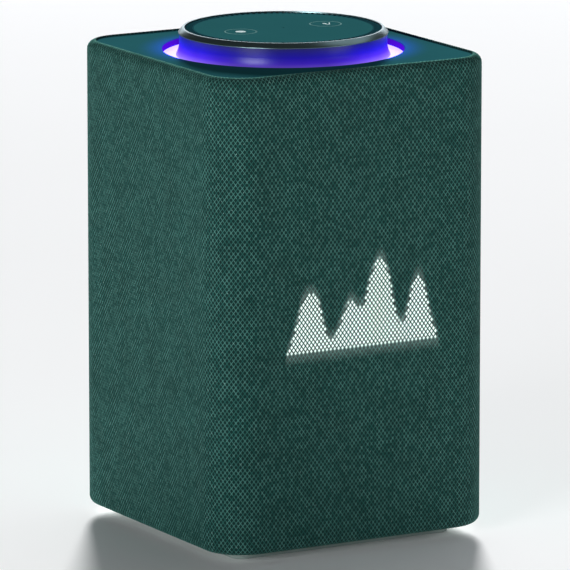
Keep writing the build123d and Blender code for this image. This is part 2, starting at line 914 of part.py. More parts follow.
# The dome's edge sits on the cone's slope.
dome_edge = coil_radius + 1.6
cone_slope = (cone_back - face + 0.8) / (cone_rim - coil_radius)
dome_seat = cone_back - (dome_edge - coil_radius) * cone_slope

with BuildPart() as woofer_dust_cap:
    turned(
        [
            (0, dome_seat - 4.6),
            (dome_edge * 0.5, dome_seat - 3.8),
            (dome_edge * 0.85, dome_seat - 1.8),
            (dome_edge, dome_seat),
            (dome_edge * 0.85 - 0.4, dome_seat - 1.2),
            (dome_edge * 0.5, dome_seat - 3.2),
            (0, dome_seat - 4.0),
        ],
        0,
        woofer_height,
    )


def half_roll(inner, outer, level, x, z):
    """A half-roll rubber surround between a cone's rim and its frame."""
    middle = (inner + outer) / 2
    reach = (outer - inner) / 2
    outside = []
    inside = []
    for turn in range(0, 181, 30):
        c, s = cos(radians(turn)), sin(radians(turn))
        outside.append((middle - reach * c, level - reach * s))
        inside.append((middle - (reach - 0.5) * c, level - (reach - 0.5) * s))
    with BuildPart() as roll:
        turned(outside + inside[::-1], x, z)
    return roll


woofer_surround = half_roll(surround_inner, surround_outer, face - 0.6, 0, woofer_height)

# The spider is a corrugated disc from the voice coil to the basket's throat.
spider_steps = 8
spider_inner = coil_radius + fit_gap
spider_pitch = (basket_throat - fit_gap - spider_inner) / spider_steps
spider_front = []
for step in range(spider_steps + 1):
    wave = 0.5 if step % 2 else -0.5
    spider_front.append((spider_inner + step * spider_pitch, spider_y + 1.2 + wave))
spider_back = [(radius, y + 0.5) for radius, y in spider_front[::-1]]

with BuildPart() as woofer_spider:
    turned(spider_front + spider_back, 0, woofer_height)

with BuildPart() as woofer_screws:
    for x, z in woofer_screw_places:
        level_screw(x, z, flange_front, short_screw_length)

# ---- Midrange drivers: a frame with a closed cup, a motor, a cone and a surround ----

mid_cup_rear = face + 24.0
mid_cup_outer = mid_hole - 0.3
mid_cup_inner = mid_cup_outer - 1.5
mid_motor_front = face + 9.0
mid_coil_end = face + 13.0
mid_rim = mid_radius - 6.4
mid_surround_in = mid_rim + 0.8
mid_surround_out = mid_surround_in + 2.0

mid_frame_profile = [
    (mid_surround_out, face - 1.6),
    (mid_radius, face - 1.6),
    (mid_radius, face),
    (mid_cup_outer, face),
    (mid_cup_outer, mid_cup_rear),
    (0, mid_cup_rear),
    (0, mid_cup_rear - 1.5),
    (mid_cup_inner, mid_cup_rear - 1.5),
    (mid_cup_inner, face - 0.3),
    (mid_surround_out, face - 0.3),
]
mid_motor_profile = [
    (0, mid_motor_front),
    (mid_coil - 0.8, mid_motor_front),
    (mid_coil - 0.8, mid_coil_end + 3),
    (mid_coil + 0.8, mid_coil_end + 3),
    (mid_coil + 0.8, mid_motor_front),
    (mid_cup_inner - fit_gap, mid_motor_front),
    (mid_cup_inner - fit_gap, mid_cup_rear - 1.5),
    (0, mid_cup_rear - 1.5),
]
mid_cone_profile = [
    (0, face + 1.2),
    (mid_coil * 0.6, face + 2.2),
    (mid_coil, face + 5),
    (mid_rim, face - 0.6),
    (mid_surround_in, face - 0.6),
    (mid_surround_in, face),
    (mid_coil + 0.3, face + 5.8),
    (mid_coil + 0.3, mid_coil_end),
    (mid_coil - 0.3, mid_coil_end),
    (mid_coil - 0.3, face + 5.6),
    (mid_coil * 0.6, face + 2.8),
    (0, face + 1.8),
]

with BuildPart() as mid_frames:
    for x, z in mid_places:
        turned(mid_frame_profile, x, z)

with BuildPart() as mid_motors:
    for x, z in mid_places:
        turned(mid_motor_profile, x, z)

with BuildPart() as mid_cone_left:
    turned(mid_cone_profile, *mid_places[0])

with BuildPart() as mid_cone_right:
    turned(mid_cone_profile, *mid_places[1])

mid_surround_left = half_roll(mid_surround_in, mid_surround_out, face - 0.5, *mid_places[0])
mid_surround_right = half_roll(mid_surround_in, mid_surround_out, face - 0.5, *mid_places[1])

# ---- Tweeters: a frame, a motor and a soft dome -------------------------------------

dome_radius = tweeter_radius - 3.6
tweeter_cup_outer = tweeter_hole - 0.2
tweeter_cup_inner = tweeter_cup_outer - 1.0
tweeter_rear = face + 9.0

tweeter_frame_profile = [
    (dome_radius + 0.9, face - 1.4),
    (tweeter_radius, face - 1.4),
    (tweeter_radius, face),
    (tweeter_cup_outer, face),
    (tweeter_cup_outer, tweeter_rear),
    (0, tweeter_rear),
    (0, tweeter_rear - 1),
    (tweeter_cup_inner, tweeter_rear - 1),
    (tweeter_cup_inner, face + 1),
    (dome_radius + 0.9, face),
]
tweeter_motor_profile = [
    (0, face + 3),
    (tweeter_cup_inner - fit_gap, face + 3),
    (tweeter_cup_inner - fit_gap, tweeter_rear - 1),
    (0, tweeter_rear - 1),
]
tweeter_dome_profile = [
    (0, face - 2.4),
    (dome_radius * 0.5, face - 1.9),
    (dome_radius * 0.85, face - 0.6),
    (dome_radius, face + 0.8),
    (dome_radius + 0.6, face + 0.8),
    (dome_radius + 0.6, face + 1.2),
    (dome_radius - 0.4, face + 1.2),
    (dome_radius * 0.85 - 0.3, face - 0.1),
    (dome_radius * 0.5, face - 1.4),
    (0, face - 1.9),
]

with BuildPart() as tweeter_frames:
    for x, z in tweeter_places:
        turned(tweeter_frame_profile, x, z)

with BuildPart() as tweeter_motors:
    for x, z in tweeter_places:
        turned(tweeter_motor_profile, x, z)

with BuildPart() as tweeter_dome_left:
    turned(tweeter_dome_profile, *tweeter_places[0])

with BuildPart() as tweeter_dome_right:
    turned(tweeter_dome_profile, *tweeter_places[1])

# ---- Light matrix behind the front fabric -------------------------------------------

guide_front = -shell_inner + fit_gap
matrix_board_front = guide_front + matrix_guide_thickness
matrix_board_rear = matrix_board_front + board_thickness

with BuildPart() as matrix_board:
    board_faces = (matrix_board_front, matrix_board_rear)
    block(0, matrix_center, matrix_width, matrix_height, *board_faces)
    for sx, sz in corner_signs:
        x = sx * (matrix_width / 2 - 5)
        z = matrix_center + sz * (matrix_height / 2 - 5)
        bar(x, z, 2.0, matrix_board_rear, baffle_front)

with BuildPart() as matrix_guide:
    block(0, matrix_center, matrix_width, matrix_height, guide_front, matrix_board_front)
    raised_width = window_width - 2 * panel_gap
    raised_height = window_height - 2 * panel_gap
    block(0, matrix_center, raised_width, raised_height, -shell_half, guide_front)

# ---- Main board, heat sink and socket bay -------------------------------------------

board_middle = (board_bottom + board_top) / 2
board_height = board_top - board_bottom

sink_rear = shell_inner - 6
sink_center = board_top - 10 - sink_height / 2
fin_pitch = (sink_width - fin_thickness) / (fin_count - 1)

with BuildPart() as heat_sink:
    block(sink_x, sink_center, sink_width, sink_height, board_rear, board_rear + 3)
    for fin in range(fin_count):
        x = sink_x + (fin - (fin_count - 1) / 2) * fin_pitch
        block(x, sink_center, fin_thickness, sink_height, board_rear + 3, sink_rear)

capacitor_places = []
for x in (capacitor_x, capacitor_x + capacitor_pitch):
    for z in (sink_center, sink_center + capacitor_pitch):
        capacitor_places.append((x, z))

# The board's node holds its tall capacitors too, as separate solids.
with BuildPart() as main_board:
    block(0, board_middle, 2 * board_half, board_height, board_front, board_rear)
    for x, z in capacitor_places:
        bar(x, z, 4.0, board_rear, board_rear + 11)

sockets = [
    (power_x, power_width, power_height),
    (video_x, video_width, video_height),
    (network_x, network_width, network_height),
    (audio_x, audio_width, audio_width),
]

with BuildPart() as socket_bay:
    block(0, bay_center, bay_width, bay_height, bay_floor - bay_wall, half)
    flange_width = bay_width + 2 * bay_flange
    flange_height = bay_height + 2 * bay_flange
    block(0, bay_center, flange_width, flange_height, shell_inner - 2, shell_inner - fit_gap)
    room_width = bay_width - 2 * bay_wall
    room_height = bay_height - 2 * bay_wall
    block(0, bay_center, room_width, room_height, bay_floor, half, cut)
    for x, size_x, size_z in sockets:
        hole_width = size_x + 2 * fit_gap
        hole_height = size_z + 2 * fit_gap
        block(x, bay_center, hole_width, hole_height, bay_floor - bay_wall, bay_floor, cut)

socket_rear = bay_floor - socket_depth

with BuildPart() as power_socket:
    block(power_x, bay_center, power_width, power_height, board_rear, bay_floor)
    bar(power_x, bay_center, power_bore_radius, socket_rear, bay_floor, cut)
    bar(power_x, bay_center, power_pin_radius, socket_rear, bay_floor - 1)

with BuildPart() as video_socket:
    block(video_x, bay_center, video_width, video_height, board_rear, bay_floor)
    block(video_x, bay_center, video_width - 1.4, video_height - 1.4, bay_floor - 9, bay_floor, cut)
    block(video_x, bay_center, video_width - 4, 1.0, bay_floor - 9, bay_floor - 1)

with BuildPart() as network_socket:
    block(network_x, bay_center, network_width, network_height, board_rear, bay_floor)
    plug_z = bay_center + 1.0
    block(network_x, plug_z, plug_width, plug_height, socket_rear, bay_floor, cut)
    latch_z = plug_z - plug_height / 2 - latch_height / 2
    block(network_x, latch_z, latch_width, latch_height, socket_rear, bay_floor, cut)

with BuildPart() as audio_socket:
    block(audio_x, bay_center, audio_width, audio_width, board_rear, bay_floor)
    bar(audio_x, bay_center, audio_bore_radius, socket_rear, bay_floor, cut)

# ---- Name and write every piece -----------------------------------------------------

pieces = {
    "fabric_sleeve": fabric_sleeve,
    "grille_shell": grille_shell,
    "foot_pad": foot_pad,
    "base_plate": base_plate,
    "top_panel": top_panel,
    "light_diffuser": light_diffuser,
    "led_board": led_board,
    "ring_leds": ring_leds,
    "top_deck": top_deck,
    "deck_screws": deck_screws,
    "volume_rim": volume_rim,
    "ring_skirt": ring_skirt,
    "encoder_ring": encoder_ring,
    "turret": turret,
    "bearing_ring": bearing_ring,
    "retainer_ring": retainer_ring,
    "encoder_sensors": encoder_sensors,
    "slot_ring": slot_ring,
    "control_panel": control_panel,
    "button_board": button_board,
    "tact_switches": tact_switches,
    "microphones": microphones,
    "action_button": action_button,
    "action_icon": action_icon,
    "mute_button": mute_button,
    "mute_icon": mute_icon,
    "enclosure_body": enclosure_body,
    "enclosure_gasket": enclosure_gasket,
    "enclosure_back": enclosure_back,
    "case_screws": case_screws,
    "bass_port": bass_port,
    "woofer_basket": woofer_basket,
    "woofer_top_plate": woofer_top_plate,
    "woofer_magnet": woofer_magnet,
    "woofer_yoke": woofer_yoke,
    "woofer_voice_coil": woofer_voice_coil,
    "woofer_cone": woofer_cone,
    "woofer_dust_cap": woofer_dust_cap,
    "woofer_surround": woofer_surround,
    "woofer_spider": woofer_spider,
    "woofer_screws": woofer_screws,
    "mid_frames": mid_frames,
    "mid_motors": mid_motors,
    "mid_cone_left": mid_cone_left,
    "mid_cone_right": mid_cone_right,
    "mid_surround_left": mid_surround_left,
    "mid_surround_right": mid_surround_right,
    "tweeter_frames": tweeter_frames,
    "tweeter_motors": tweeter_motors,
    "tweeter_dome_left": tweeter_dome_left,
    "tweeter_dome_right": tweeter_dome_right,
    "matrix_board": matrix_board,
    "matrix_guide": matrix_guide,
    "main_board": main_board,
    "heat_sink": heat_sink,
    "socket_bay": socket_bay,
    "power_socket": power_socket,
    "video_socket": video_socket,
    "network_socket": network_socket,
    "audio_socket": audio_socket,
}

os.makedirs("parts", exist_ok=True)
for name, piece in pieces.items():
    piece.part.label = name
    export_step(piece.part, f"parts/{name}.step")
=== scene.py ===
import math

import bpy
import numpy as np
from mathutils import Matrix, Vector


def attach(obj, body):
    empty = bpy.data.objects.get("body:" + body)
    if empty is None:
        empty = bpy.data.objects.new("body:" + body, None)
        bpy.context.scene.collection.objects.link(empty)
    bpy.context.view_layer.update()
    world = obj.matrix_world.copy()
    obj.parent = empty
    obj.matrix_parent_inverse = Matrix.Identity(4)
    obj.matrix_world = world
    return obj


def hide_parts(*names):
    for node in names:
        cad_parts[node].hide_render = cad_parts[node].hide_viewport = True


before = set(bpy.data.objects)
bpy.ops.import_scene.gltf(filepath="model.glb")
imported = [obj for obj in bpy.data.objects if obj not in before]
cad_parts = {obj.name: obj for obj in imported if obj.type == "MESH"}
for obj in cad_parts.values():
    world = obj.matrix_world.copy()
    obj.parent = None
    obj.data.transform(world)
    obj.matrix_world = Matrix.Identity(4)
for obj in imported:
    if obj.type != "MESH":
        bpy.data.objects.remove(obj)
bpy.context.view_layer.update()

# ---- Camera --------------------------------------------------------------------------
# A long lens three metres away, a little above the speaker's top and turned to its
# left, so that the front, the left side and the top all show.

camera = bpy.data.objects.new("camera", bpy.data.cameras.new("camera"))
bpy.context.scene.collection.objects.link(camera)
bpy.context.scene.camera = camera
camera.data.sensor_width = 36.0
camera.data.lens = 421.7
camera.data.clip_end = 100.0
camera.location = Vector((-1.47795, -2.57439, 0.71180))
camera_aim = Vector((-0.00145, -0.00413, 0.11058))
camera.rotation_euler = (camera.location - camera_aim).to_track_quat("Z", "Y").to_euler()


# ---- Floor and studio light ----------------------------------------------------------
# A pale matte floor in a dim room. A low soft sun from behind lights the floor and the
# top, and it leaves no shine. A large softbox lights the left side, a small weak one the
# front, one high on the right the top, and a card at the back shines in the metal rim.

MM = 0.001  # sizes are in millimetres unless a comment says metres


def linear(code):
    """A linear colour with alpha from an sRGB hex code such as "2f665b"."""
    parts = [int(code[i : i + 2], 16) / 255 for i in (0, 2, 4)]
    return tuple(
        p / 12.92 if p <= 0.04045 else ((p + 0.055) / 1.055) ** 2.4 for p in parts
    ) + (1.0,)


def add_node(tree, kind, inputs=None, **settings):
    """Adds a node, makes its settings, and sets or links each input that is named."""
    node = tree.nodes.new(kind)
    for name, value in settings.items():
        setattr(node, name, value)
    for key, value in (inputs or {}).items():
        if isinstance(value, bpy.types.NodeSocket):
            tree.links.new(value, node.inputs[key])
        else:
            node.inputs[key].default_value = value
    return node


def start_material(name):
    """A new material, its node tree, and the place on the object that patterns start from."""
    material = bpy.data.materials.new(name)
    material.use_nodes = True
    tree = material.node_tree
    tree.nodes.clear()
    return material, tree, add_node(tree, "ShaderNodeTexCoord").outputs["Object"]


def surface(tree, inputs, bumps=None, strength=1.0, depth=0.02):
    """Ends a material in one surface, with any bumps this many millimetres deep."""
    if bumps is not None:
        sizes = {"Height": bumps, "Strength": strength, "Distance": depth * MM}
        inputs["Normal"] = add_node(tree, "ShaderNodeBump", sizes).outputs["Normal"]
    skin = add_node(tree, "ShaderNodeBsdfPrincipled", inputs)
    add_node(tree, "ShaderNodeOutputMaterial", {"Surface": skin.outputs["BSDF"]})


def mesh_object(name, points, faces, material):
    """A mesh object from points in metres."""
    mesh = bpy.data.meshes.new(name)
    mesh.from_pydata([tuple(p) for p in points], [], [tuple(f) for f in faces])
    mesh.materials.append(material)
    mesh.update()
    made = bpy.data.objects.new(name, mesh)
    bpy.context.scene.collection.objects.link(made)
    return made


floor_half = 15.0  # metres
paper, tree, place = start_material("matte_studio_floor")
mottle = add_node(tree, "ShaderNodeTexNoise", {"Vector": place, "Scale": 3.0})
tone = add_node(
    tree,
    "ShaderNodeMix",
    {"Factor": mottle.outputs["Fac"], "A": linear("f9f9f9"), "B": linear("fcfcfc")},
    data_type="RGBA",
)
surface(tree, {"Base Color": tone.outputs["Result"], "Roughness": 0.9, "Specular IOR Level": 0.1})
ways = ((-1, -1), (1, -1), (1, 1), (-1, 1))
floor_corners = [(x * floor_half, y * floor_half, 0) for x, y in ways]
floor = mesh_object("floor", floor_corners, [(0, 1, 2, 3)], paper)

softboxes = [
    # name, place in metres, what it faces, width, height, watts, colour
    ("left_softbox", (-1.73, -0.93, 0.46), (0, 0, 0.16), 0.8, 0.7, 17.5, "fafdff"),
    ("right_softbox", (1.15, 0.10, 1.60), (0, 0, 0.2), 1.5, 1.2, 4.0, "f6f9ff"),
    ("front_softbox", (0.42, -0.62, 0.14), (0, 0, 0.10), 0.36, 0.16, 0.30, "f6faff"),
    ("back_card", (1.29, 2.25, 0.84), (0, 0, 0.22), 2.2, 0.9, 13.0, "f4f8ff"),
]
for name, spot, faces_to, width, height, watts, colour in softboxes:
    data = bpy.data.lights.new(name, "AREA")
    data.shape, data.size, data.size_y = "RECTANGLE", width, height
    data.energy, data.color = watts, linear(colour)[:3]
    box = bpy.data.objects.new(name, data)
    box.location = spot
    box.rotation_euler = (Vector(spot) - Vector(faces_to)).to_track_quat("Z", "Y").to_euler()
    bpy.context.scene.collection.objects.link(box)

sun = bpy.data.objects.new("back_sun", bpy.data.lights.new("back_sun", "SUN"))
sun.data.energy, sun.data.angle = 8.8, math.radians(10)
sun.visible_glossy = False
sun.rotation_euler = Vector((0.50, 0.87, 0.25)).to_track_quat("Z", "Y").to_euler()
bpy.context.scene.collection.objects.link(sun)

world = bpy.data.worlds.new("studio")
bpy.context.scene.world = world
world.use_nodes = True
world.node_tree.nodes.clear()
room = {"Color": linear("f6f8fa"), "Strength": 0.055}
room = add_node(world.node_tree, "ShaderNodeBackground", room)
add_node(world.node_tree, "ShaderNodeOutputWorld", {"Surface": room.outputs[0]})
bpy.context.scene.view_settings.view_transform = "Standard"


# ---- Fabric sleeve -------------------------------------------------------------------
# One tube of knitted polyester, about 1 mm thick, stretched over the grille shell and
# rolled in over its top and bottom edges. Its yarns cross in a lattice of raised
# diagonal ribs round small sunk pockets, and the light matrix shows through the pockets.

sleeve_half = 70.5  # from the axis to a face
sleeve_corner = 20.0
sleeve_bottom, sleeve_top = 4.5, 219.5
sleeve_bottom_roll, sleeve_top_roll = 3.6, 4.0
cloth_thickness = 1.0
pocket_depth = 0.26
columns, rows = 528, 164  # half repeats of the lattice, round and up
bay_low, bay_high = 13.9, 40.1  # the cut-out for the sockets
bay_column, bay_row_low, bay_row_high = 36, 9, 28  # and the lattice lines that it follows
lip_steps = 4  # rows across each rolled lip, on the inside

flat_run = 2 * (sleeve_half - sleeve_corner)
corner_run = sleeve_corner * math.pi / 2
column_pitch = 4 * (flat_run + corner_run) / columns


def sleeve_plan(s):
    """The point at a distance s round the sleeve from the middle of its back, and its way out."""
    quarter = flat_run + corner_run
    turns, along = divmod(s + flat_run / 2, quarter)
    if along <= flat_run:
        x, y, out = flat_run / 2 - along, sleeve_half, math.pi / 2
    else:
        out = math.pi / 2 + (along - flat_run) / sleeve_corner
        x = -(sleeve_half - sleeve_corner) + sleeve_corner * math.cos(out)
        y = (sleeve_half - sleeve_corner) + sleeve_corner * math.sin(out)
    turn = turns * math.pi / 2
    c, d = math.cos(turn), math.sin(turn)
    return c * x - d * y, d * x + c * y, math.cos(out + turn), math.sin(out + turn)


straight = sleeve_top - sleeve_top_roll - sleeve_bottom - sleeve_bottom_roll
bottom_arc = sleeve_bottom_roll * math.pi / 2
top_arc = sleeve_top_roll * math.pi / 2
row_pitch = (bottom_arc + straight + top_arc) / rows


def sleeve_profile(s):
    """The inset, the height and the way out, sideways and up, at a distance s up the outside."""
    low, high = sleeve_bottom + sleeve_bottom_roll, sleeve_top - sleeve_top_roll
    if s < bottom_arc:
        a = s / sleeve_bottom_roll
        return (
            sleeve_bottom_roll * (1 - math.sin(a)),
            low - sleeve_bottom_roll * math.cos(a),
            math.sin(a),
            -math.cos(a),
        )
    if s < bottom_arc + straight:
        return 0.0, low + s - bottom_arc, 1.0, 0.0
    a = (s - bottom_arc - straight) / sleeve_top_roll
    return (
        sleeve_top_roll * (1 - math.cos(a)),
        high + sleeve_top_roll * math.sin(a),
        math.cos(a),
        math.sin(a),
    )


plan = np.array([sleeve_plan(i * column_pitch) for i in range(columns)])
outside = np.array([sleeve_profile(j * row_pitch) for j in range(rows + 1)])
inside = []
for k in range(lip_steps):
    a = math.pi / 2 * (1 - k / (lip_steps - 1))
    r, height = sleeve_top_roll - cloth_thickness, sleeve_top - sleeve_top_roll
    inside.append((sleeve_top_roll - r * math.cos(a), height + r * math.sin(a)))
inside += [(cloth_thickness, bay_high), (cloth_thickness, bay_low)]
for k in range(lip_steps):
    a = math.pi / 2 * k / (lip_steps - 1)
    r, height = sleeve_bottom_roll - cloth_thickness, sleeve_bottom + sleeve_bottom_roll
    inside.append((sleeve_bottom_roll - r * math.cos(a), height - r * math.sin(a)))


def layer(inset, z):
    """One row of points round the sleeve, this far in from its outside."""
    return np.stack([plan[:, 0] - plan[:, 2] * inset, plan[:, 1] - plan[:, 3] * inset, z], 1)


layers = []
for j in range(rows + 1):
    inset, height, sideways, upward = outside[j]
    sunk = np.where((np.arange(columns) + j) % 2 == 0, 0.0, pocket_depth)
    if j in (0, rows):
        sunk = sunk * 0
    z = np.full(columns, height) - sunk * upward
    edge = {bay_row_low: bay_low, bay_row_high: bay_high}.get(j)
    if edge is not None:
        round_back = np.arange(columns)
        z[(round_back <= bay_column) | (round_back >= columns - bay_column)] = edge
    layers.append(layer(inset + sunk * sideways, z))
layers += [layer(inset, np.full(columns, height)) for inset, height in inside]
cloth_points = np.concatenate(layers) * MM
layer_count = len(layers)
inner_high = rows + 1 + lip_steps
inner_low = inner_high + 1

cloth_faces, cloth_places = [], []


def knot(i, j):
    """The number of the point in this column and row."""
    return (j % layer_count) * columns + i % columns


def lattice_place(i, j):
    """The pattern's place there; up the inside the rows run back down to the bottom."""
    return (i, j if j <= rows else rows - (j - rows - 1) * rows / (layer_count - rows - 2))


for j in range(layer_count):
    for i in range(columns):
        at_back = i < bay_column or i >= columns - bay_column
        if at_back and (bay_row_low <= j < bay_row_high or j == inner_high):
            continue
        a, b, c, d = (i, j), (i + 1, j), (i + 1, j + 1), (i, j + 1)
        if j >= rows:
            pieces = [(a, b, c, d)]
        elif (i + j) % 2 == 0:
            pieces = [(a, b, c), (a, c, d)]
        else:
            pieces = [(a, b, d), (b, c, d)]
        for piece in pieces:
            cloth_faces.append([knot(*p) for p in piece])
            cloth_places.append([lattice_place(*p) for p in piece])
bay_edges = ((True, bay_row_low, inner_low), (False, bay_row_high, inner_high))
for i in range(-bay_column, bay_column):
    for faces_up, row, inner in bay_edges:
        wall = [(i, row), (i + 1, row), (i + 1, inner), (i, inner)]
        wall = wall if faces_up else wall[::-1]
        cloth_faces.append([knot(*p) for p in wall])
        cloth_places.append([(p[0], row) for p in wall])
for i in (bay_column, -bay_column):
    wall = [(i, j) for j in range(bay_row_low, bay_row_high + 1)]
    wall += [(i, inner_high), (i, inner_low)]
    wall = wall if i > 0 else wall[::-1]
    cloth_faces.append([knot(*p) for p in wall])
    cloth_places.append([(i, min(p[1], bay_row_high)) for p in wall])

used = np.zeros(len(cloth_points), bool)
for face in cloth_faces:
    used[face] = True
renumber = np.cumsum(used) - 1
cloth_faces = [[int(renumber[v]) for v in face] for face in cloth_faces]

# The bell-shaped peaks that the light matrix draws: height above the table across the
# front, from left to right, and the level of their common base. Past each end the outline
# drops below it.
peaks_base = 94.2
peaks = [
    (-40.6, 80.0), (-38.4, 94.2), (-36.4, 99.5), (-33.0, 109.5), (-30.4, 117.9), (-26.4, 120.9),
    (-22.4, 117.0), (-19.4, 106.0), (-15.7, 99.6), (-12.2, 104.0), (-8.4, 112.6),
    (-5.3, 115.9), (-2.6, 113.3), (-0.6, 112.6), (2.4, 119.0), (5.6, 128.5), (9.8, 133.4),
    (13.2, 127.5), (16.6, 113.5), (20.4, 103.6), (23.2, 109.5), (25.8, 119.0),
    (29.3, 123.5), (32.6, 117.5), (35.6, 105.0), (39.2, 94.8), (41.2, 80.0),
]

# Knitted polyester, dyed in the yarn. The ribs are paler and the pockets are painted dark,
# a painted shade in their hollows; the fibres give a soft sheen, and a few stand out as pale
# specks. The lattice repeats every 2.0 mm round the sleeve and every 2.7 mm up it.
knitted_polyester, tree, place = start_material("knitted_polyester")
uv = add_node(tree, "ShaderNodeUVMap", uv_map="lattice")
split = add_node(tree, "ShaderNodeSeparateXYZ", {"Vector": uv.outputs["UV"]})
u, v = split.outputs["X"], split.outputs["Y"]

# Along one diagonal and then the other: how far off the nearest rib is, its number, and the
# pocket's number.
diagonals = []
for way in ("ADD", "SUBTRACT"):
    run = add_node(tree, "ShaderNodeMath", {0: u, 1: v}, operation=way).outputs[0]
    run = add_node(tree, "ShaderNodeMath", {0: run, 1: 0.5}, operation="MULTIPLY").outputs[0]
    off = add_node(tree, "ShaderNodeMath", {0: run, 1: 0.5}, operation="PINGPONG").outputs[0]
    rib = add_node(tree, "ShaderNodeMath", {0: run}, operation="ROUND").outputs[0]
    sunk = add_node(tree, "ShaderNodeMath", {0: run}, operation="FLOOR").outputs[0]
    diagonals.append((off, rib, sunk))
(off_rise, rise_stitch, pocket_rise), (off_fall, fall_stitch, pocket_fall) = diagonals
off_rib = add_node(
    tree, "ShaderNodeMath", {0: off_rise, 1: off_fall, 2: 0.08}, operation="SMOOTH_MIN"
).outputs[0]
pocket = add_node(
    tree,
    "ShaderNodeMapRange",
    {"Value": off_rib, "From Min": 0.0, "From Max": 0.15},
    interpolation_type="SMOOTHSTEP",
).outputs[0]
stitch = add_node(tree, "ShaderNodeCombineXYZ", {"X": rise_stitch, "Y": fall_stitch})
yarn = add_node(
    tree, "ShaderNodeTexWhiteNoise", {"Vector": stitch.outputs[0]}, noise_dimensions="2D"
).outputs["Value"]
fibres = add_node(
    tree,
    "ShaderNodeTexNoise",
    {"Vector": place, "Scale": 1 / (0.45 * MM), "Detail": 3.0, "Roughness": 0.6},
).outputs["Fac"]
dye = add_node(
    tree, "ShaderNodeTexNoise", {"Vector": place, "Scale": 1 / (14 * MM), "Detail": 4.0}
).outputs["Fac"]
slubs = add_node(
    tree, "ShaderNodeTexNoise", {"Vector": place, "Scale": 1 / (0.8 * MM), "Detail": 0.0}
).outputs["Fac"]
speck = add_node(
    tree, "ShaderNodeMapRange", {"Value": slubs, "From Min": 0.77, "From Max": 0.84}
).outputs[0]

# The yarns' darkest tone, and over it their palest, the specks and the pockets' painted shade.
cloth_tone = linear("276a63")
for share, code in ((yarn, "62a197"), (speck, "a6cfc8"), (pocket, "0b312d")):
    cloth_tone = add_node(
        tree,
        "ShaderNodeMix",
        {"Factor": share, "A": cloth_tone, "B": linear(code)},
        data_type="RGBA",
    ).outputs["Result"]
shade = add_node(tree, "ShaderNodeMath", {0: fibres, 1: dye}, operation="ADD").outputs[0]
shade = add_node(
    tree,
    "ShaderNodeMapRange",
    {"Value": shade, "From Min": 0.6, "From Max": 1.4, "To Min": 0.8, "To Max": 1.2},
).outputs[0]

# The light matrix behind the front: each pocket lights as a whole, so the peaks' outline
# follows the lattice, and a faint halo spreads into the ribs near it.
pocket_u, pocket_v = [
    add_node(tree, "ShaderNodeMath", {0: pocket_rise, 1: pocket_fall}, operation=way).outputs[0]
    for way in ("ADD", "SUBTRACT")
]
row_zero = sleeve_bottom + sleeve_bottom_roll - bottom_arc
window_half = 60.0  # the stretch of the front that the outline is drawn in, to each side
window_low, window_tall = 60.0, 100.0
matrix_glow, halo_share = 1.24, 0.06  # how strongly the pockets shine, and the halo's part


def across_front(round_place, shift):
    """Millimetres to the right of the front's middle, from a place round the lattice."""
    return add_node(
        tree,
        "ShaderNodeMath",
        {0: round_place, 1: column_pitch, 2: (shift - columns / 2) * column_pitch},
        operation="MULTIPLY_ADD",
    ).outputs[0]


def above_table(up_place):
    """Millimetres above the table, from a place up the lattice."""
    return add_node(
        tree, "ShaderNodeMath", {0: up_place, 1: row_pitch, 2: row_zero}, operation="MULTIPLY_ADD"
    ).outputs[0]


def inside_peaks(x, z, soft_in, soft_out):
    """One inside the peaks' outline and nothing outside it, with a soft edge in millimetres."""
    start = add_node(
        tree, "ShaderNodeMapRange", {"Value": x, "From Min": -window_half, "From Max": window_half}
    ).outputs[0]
    outline = add_node(tree, "ShaderNodeFloatCurve", {"Value": start})
    curve = outline.mapping.curves[0]
    for px, pz in peaks:
        curve.points.new((px / window_half + 1) / 2, (pz - window_low) / window_tall)
    curve.points[0].location = (0.0, 0.0)
    curve.points[-1].location = (1.0, 0.0)
    outline.mapping.update()
    ceiling = add_node(
        tree,
        "ShaderNodeMath",
        {0: outline.outputs[0], 1: window_tall, 2: window_low},
        operation="MULTIPLY_ADD",
    ).outputs[0]
    under = add_node(tree, "ShaderNodeMath", {0: ceiling, 1: z}, operation="SUBTRACT").outputs[0]
    over = add_node(tree, "ShaderNodeMath", {0: z, 1: peaks_base}, operation="SUBTRACT").outputs[0]
    within = add_node(tree, "ShaderNodeMath", {0: under, 1: over}, operation="MINIMUM").outputs[0]
    return add_node(
        tree,
        "ShaderNodeMapRange",
        {"Value": within, "From Min": -soft_out, "From Max": soft_in},
        interpolation_type="SMOOTHSTEP",
    ).outputs[0]


lit = inside_peaks(across_front(pocket_u, 1.0), above_table(pocket_v), 1.0, 0.7)
halo = inside_peaks(across_front(u, 0.0), above_table(v), 0.5, 6.0)
over_peaks = inside_peaks(across_front(u, 0.0), above_table(v), 1.0, 0.4)
opening = add_node(
    tree,
    "ShaderNodeMapRange",
    {"Value": off_rib, "From Min": 0.135, "From Max": 0.20, "To Max": matrix_glow},
    interpolation_type="SMOOTHSTEP",
).outputs[0]
lozenges = add_node(tree, "ShaderNodeMath", {0: lit, 1: opening}, operation="MULTIPLY").outputs[0]
halo = add_node(tree, "ShaderNodeMath", {0: halo, 1: over_peaks}, operation="SUBTRACT").outputs[0]
glow_share = add_node(
    tree,
    "ShaderNodeMath",
    {0: halo, 1: halo_share * matrix_glow, 2: lozenges},
    operation="MULTIPLY_ADD",
).outputs[0]
